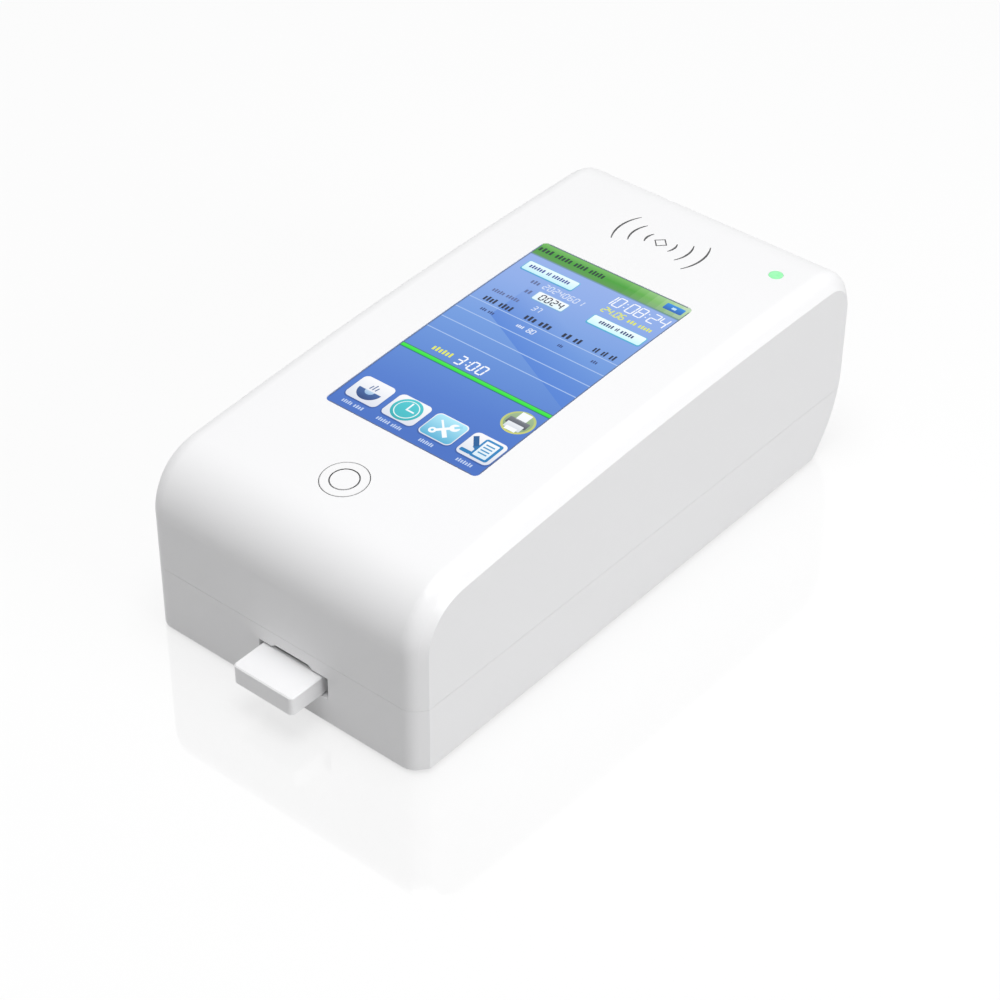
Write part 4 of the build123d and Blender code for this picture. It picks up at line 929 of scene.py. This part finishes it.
# The rules of the table are one thin plate repeated down the page on the lens.
rule_tree, given, rule_result = geometry_tree(
    "table_rules",
    {
        "Width": "Float",
        "Thickness": "Float",
        "Spacing": "Float",
        "Count": "Int",
        "First": "Vector",
        "Arch Radius": "Float",
        "Arch Middle": "Vector",
        "Light": "Material",
    },
)
plate_size = join(
    rule_tree, "ShaderNodeCombineXYZ", {"X": given["Width"], "Y": given["Thickness"], "Z": plate}
)[0]
rule = join(
    rule_tree,
    "GeometryNodeMeshCube",
    {"Size": plate_size, "Vertices X": 2, "Vertices Y": 2, "Vertices Z": 2},
)[0]
rule_step = join(rule_tree, "ShaderNodeCombineXYZ", {"Y": given["Spacing"]})[0]
rule_points = join(
    rule_tree,
    "GeometryNodeMeshLine",
    {"Count": given["Count"], "Start Location": given["First"], "Offset": rule_step},
    mode="OFFSET",
)[0]
all_rules = join(
    rule_tree, "GeometryNodeInstanceOnPoints", {"Points": rule_points, "Instance": rule}
)[0]
real_rules = join(rule_tree, "GeometryNodeRealizeInstances", {"Geometry": all_rules})[0]
position = join(rule_tree, "GeometryNodeInputPosition")[0]
where = join(rule_tree, "ShaderNodeSeparateXYZ", {"Vector": position})
arch = join(rule_tree, "ShaderNodeSeparateXYZ", {"Vector": given["Arch Middle"]})
away = work_out(rule_tree, "SUBTRACT", where["Y"], arch["Y"])
away_square = work_out(rule_tree, "MULTIPLY", away, away)
arch_square = work_out(rule_tree, "MULTIPLY", given["Arch Radius"], given["Arch Radius"])
over_square = work_out(rule_tree, "SUBTRACT", arch_square, away_square)
over = work_out(rule_tree, "SQRT", over_square)
height = work_out(rule_tree, "ADD", over, arch["Z"])
lift = join(rule_tree, "ShaderNodeCombineXYZ", {"Z": height})[0]
laid_rules = join(rule_tree, "GeometryNodeSetPosition", {"Geometry": real_rules, "Offset": lift})[0]
tinted_rules = join(
    rule_tree,
    "GeometryNodeStoreNamedAttribute",
    {"Geometry": laid_rules, "Name": "tint", "Value": shade(164, 191, 236)},
    data_type="FLOAT_COLOR",
    domain="POINT",
)[0]
lit_rules = join(
    rule_tree, "GeometryNodeSetMaterial", {"Geometry": tinted_rules, "Material": given["Light"]}
)[0]
rule_tree.links.new(lit_rules, rule_result["Geometry"])
rules = grown(
    "display_table_rules",
    rule_tree,
    {
        "Width": 0.0538,
        "Thickness": 0.00036,
        "Spacing": -0.0061,
        "Count": 4,
        "First": (window_left + 0.02705, window_front + 0.0606, layer_step * 2),
        "Arch Radius": arch_radius - glass_sink,
        "Arch Middle": (0.0, arch_y, arch_z),
        "Light": picture_ink.material,
    },
)
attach(rules, "case")

# --- Button -------------------------------------------------------------------
# One round white key with a fine ring let into its face, greyed as painted shade in its groove,
# and a faint band of painted shade at its rim by the gap; it moves in a clean round hole over a small
# switch.
key_from_front = 0.027
ring_radius, ring_half = 0.0041, 0.00021
rim_shade_start, rim_shade_share = 0.00662, 0.35
key_low, key_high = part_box("button_cap")
key_white = moulded("button_white", white_abs, 0.3, case_grain, case_grain_depth, case_uneven)
key_x, key_y, _ = key_white.coordinates()
key_x = key_x - (key_low.x + key_high.x) / 2
key_y = key_y - (front_wall + key_from_front)
from_centre = (key_x * key_x + key_y * key_y) ** 0.5
# Painted shade: grey in the ring's groove, and a fainter grey band at the rim where the key meets its
# hole.
ring_groove_shade = abs(from_centre - ring_radius) < ring_half
rim_gap_shade = from_centre > rim_shade_start
painted_key_shade = ring_groove_shade + rim_gap_shade * rim_shade_share
key_white.vary("Base Color", key_white.mix(painted_key_shade, key_white.skin(), shade(96, 96, 98)))
dress(key_white, "button_cap")

# --- Indicator ----------------------------------------------------------------
# A translucent green acrylic light pipe, pressed into the top until it lies
# flush, and lit from the small board below it.
pipe_green = Finish("indicator_green", {"IOR": 1.49, "Emission Strength": 0.3})
pipe_spot = pipe_green.noise(pipe_green.place(), 500.0, 2.0)
pipe_green.vary("Base Color", pipe_green.mix(pipe_spot, shade(120, 210, 145), shade(170, 236, 186)))
pipe_green.vary("Emission Color", pipe_green.mix(pipe_spot, shade(70, 210, 110), shade(120, 236, 150)))
pipe_green.vary("Roughness", pipe_spot * 0.1 + 0.16)
dress(pipe_green, "light_pipe")

# --- Table, light and camera --------------------------------------------------
# A plain white table with a faint polish, two soft lamps and the standpoint
# of the picture: 40 degrees to the right of the front and 38 degrees up.
table_reach, table_drop = 6.0, 0.00002
table_bounce, table_glow, table_polish = 0.42, 0.78, 0.12
clear_white = (1.0, 1.0, 1.0, 1.0)
corners = [(-1, -1), (1, -1), (1, 1), (-1, 1)]
table_mesh = bpy.data.meshes.new("table_top")
table_mesh.from_pydata(
    [(x * table_reach, y * table_reach, -table_drop) for x, y in corners], [], [(0, 1, 2, 3)]
)
table_top = stand("table_top", table_mesh)
table_white = Finish(
    "table_white", {"Base Color": (table_bounce, table_bounce, table_bounce, 1.0), "Roughness": 0.5}
)
rays = table_white.add("ShaderNodeLightPath").socket.node.outputs
shown_rays = ("Is Camera Ray", "Is Glossy Ray", "Is Transmission Ray")
seen = [Signal(table_white, rays[name]) for name in shown_rays]
glow = table_white.add("ShaderNodeEmission", {}, {"Color": clear_white, "Strength": 1.0})
polish = table_white.add("ShaderNodeBsdfGlossy", {}, {"Color": clear_white, "Roughness": 0.03})
lacquer = table_white.add("ShaderNodeBsdfDiffuse", {}, {"Color": (0.96, 0.96, 0.96, 1.0)})
pale = table_white.add("ShaderNodeMixShader", {}, {0: table_glow, 1: lacquer, 2: glow})
shiny = table_white.add("ShaderNodeMixShader", {}, {0: table_polish, 1: pale, 2: polish})
matt = Signal(table_white, table_white.shader.outputs[0])
chosen = table_white.add(
    "ShaderNodeMixShader", {}, {0: seen[0] + seen[1] + seen[2], 1: matt, 2: shiny}
)
table_white.feed(table_white.tree.nodes["Material Output"].inputs["Surface"], chosen)
table_mesh.materials.append(table_white.material)
table_top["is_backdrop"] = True

# The sky is white to the eye and to gloss, and lights the object more softly.
sky_light = 0.36
world = bpy.data.worlds.new("studio_sky")
bpy.context.scene.world = world
world.use_nodes = True
sky = world.node_tree
sky_rays = sky.nodes.new("ShaderNodeLightPath").outputs
shown = sky_rays[shown_rays[0]]
for name in shown_rays[1:]:
    either = sky.nodes.new("ShaderNodeMath")
    either.operation = "MAXIMUM"
    sky.links.new(shown, either.inputs[0])
    sky.links.new(sky_rays[name], either.inputs[1])
    shown = either.outputs[0]
strength = sky.nodes.new("ShaderNodeMapRange")
strength.inputs["To Min"].default_value = sky_light
strength.inputs["To Max"].default_value = 1.0
sky.links.new(shown, strength.inputs["Value"])
sky.links.new(strength.outputs["Result"], sky.nodes["Background"].inputs["Strength"])
sky.nodes["Background"].inputs["Color"].default_value = clear_white


def soft_lamp(name, place, aim, width, power):
    """A square lamp at place, turned towards aim."""
    lamp = bpy.data.lights.new(name, "AREA")
    lamp.shape = "SQUARE"
    lamp.size = width
    lamp.energy = power
    holder = stand(name, lamp)
    holder.location = place
    holder.rotation_euler = (Vector(aim) - Vector(place)).to_track_quat("-Z", "Y").to_euler()


soft_lamp("overhead_lamp", (0.1, -0.14, 1.5), (0.0, 0.0, 0.05), 0.8, 13.5)
soft_lamp("right_lamp", (1.3, 0.08, 0.5), (0.0, 0.0, 0.04), 0.6, 5.9)

focal_pixels, frame_pixels, sensor_width = 2676.28, 1000.0, 36.0
to_right = Vector((0.76661911, 0.64206898, 0.00652481))
to_down = Vector((0.40223378, -0.47228975, -0.78431523))
ahead = Vector((-0.50050288, 0.60389554, -0.62032818))
eye = (0.38586667, -0.46613267, 0.49189195)
camera = bpy.data.cameras.new("photo_camera")
camera.sensor_width = sensor_width
camera.lens = focal_pixels * sensor_width / frame_pixels
camera.clip_start = 0.02
camera.clip_end = 60.0
standpoint = stand("photo_camera", camera)
facing = Matrix((to_right, -to_down, -ahead)).transposed().to_4x4()
standpoint.matrix_world = Matrix.Translation(eye) @ facing
bpy.context.scene.camera = standpoint
bpy.context.scene.view_settings.view_transform = "Standard"

{"solid": [list(p) for p in solid_box], "visual": [list(p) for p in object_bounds()]}
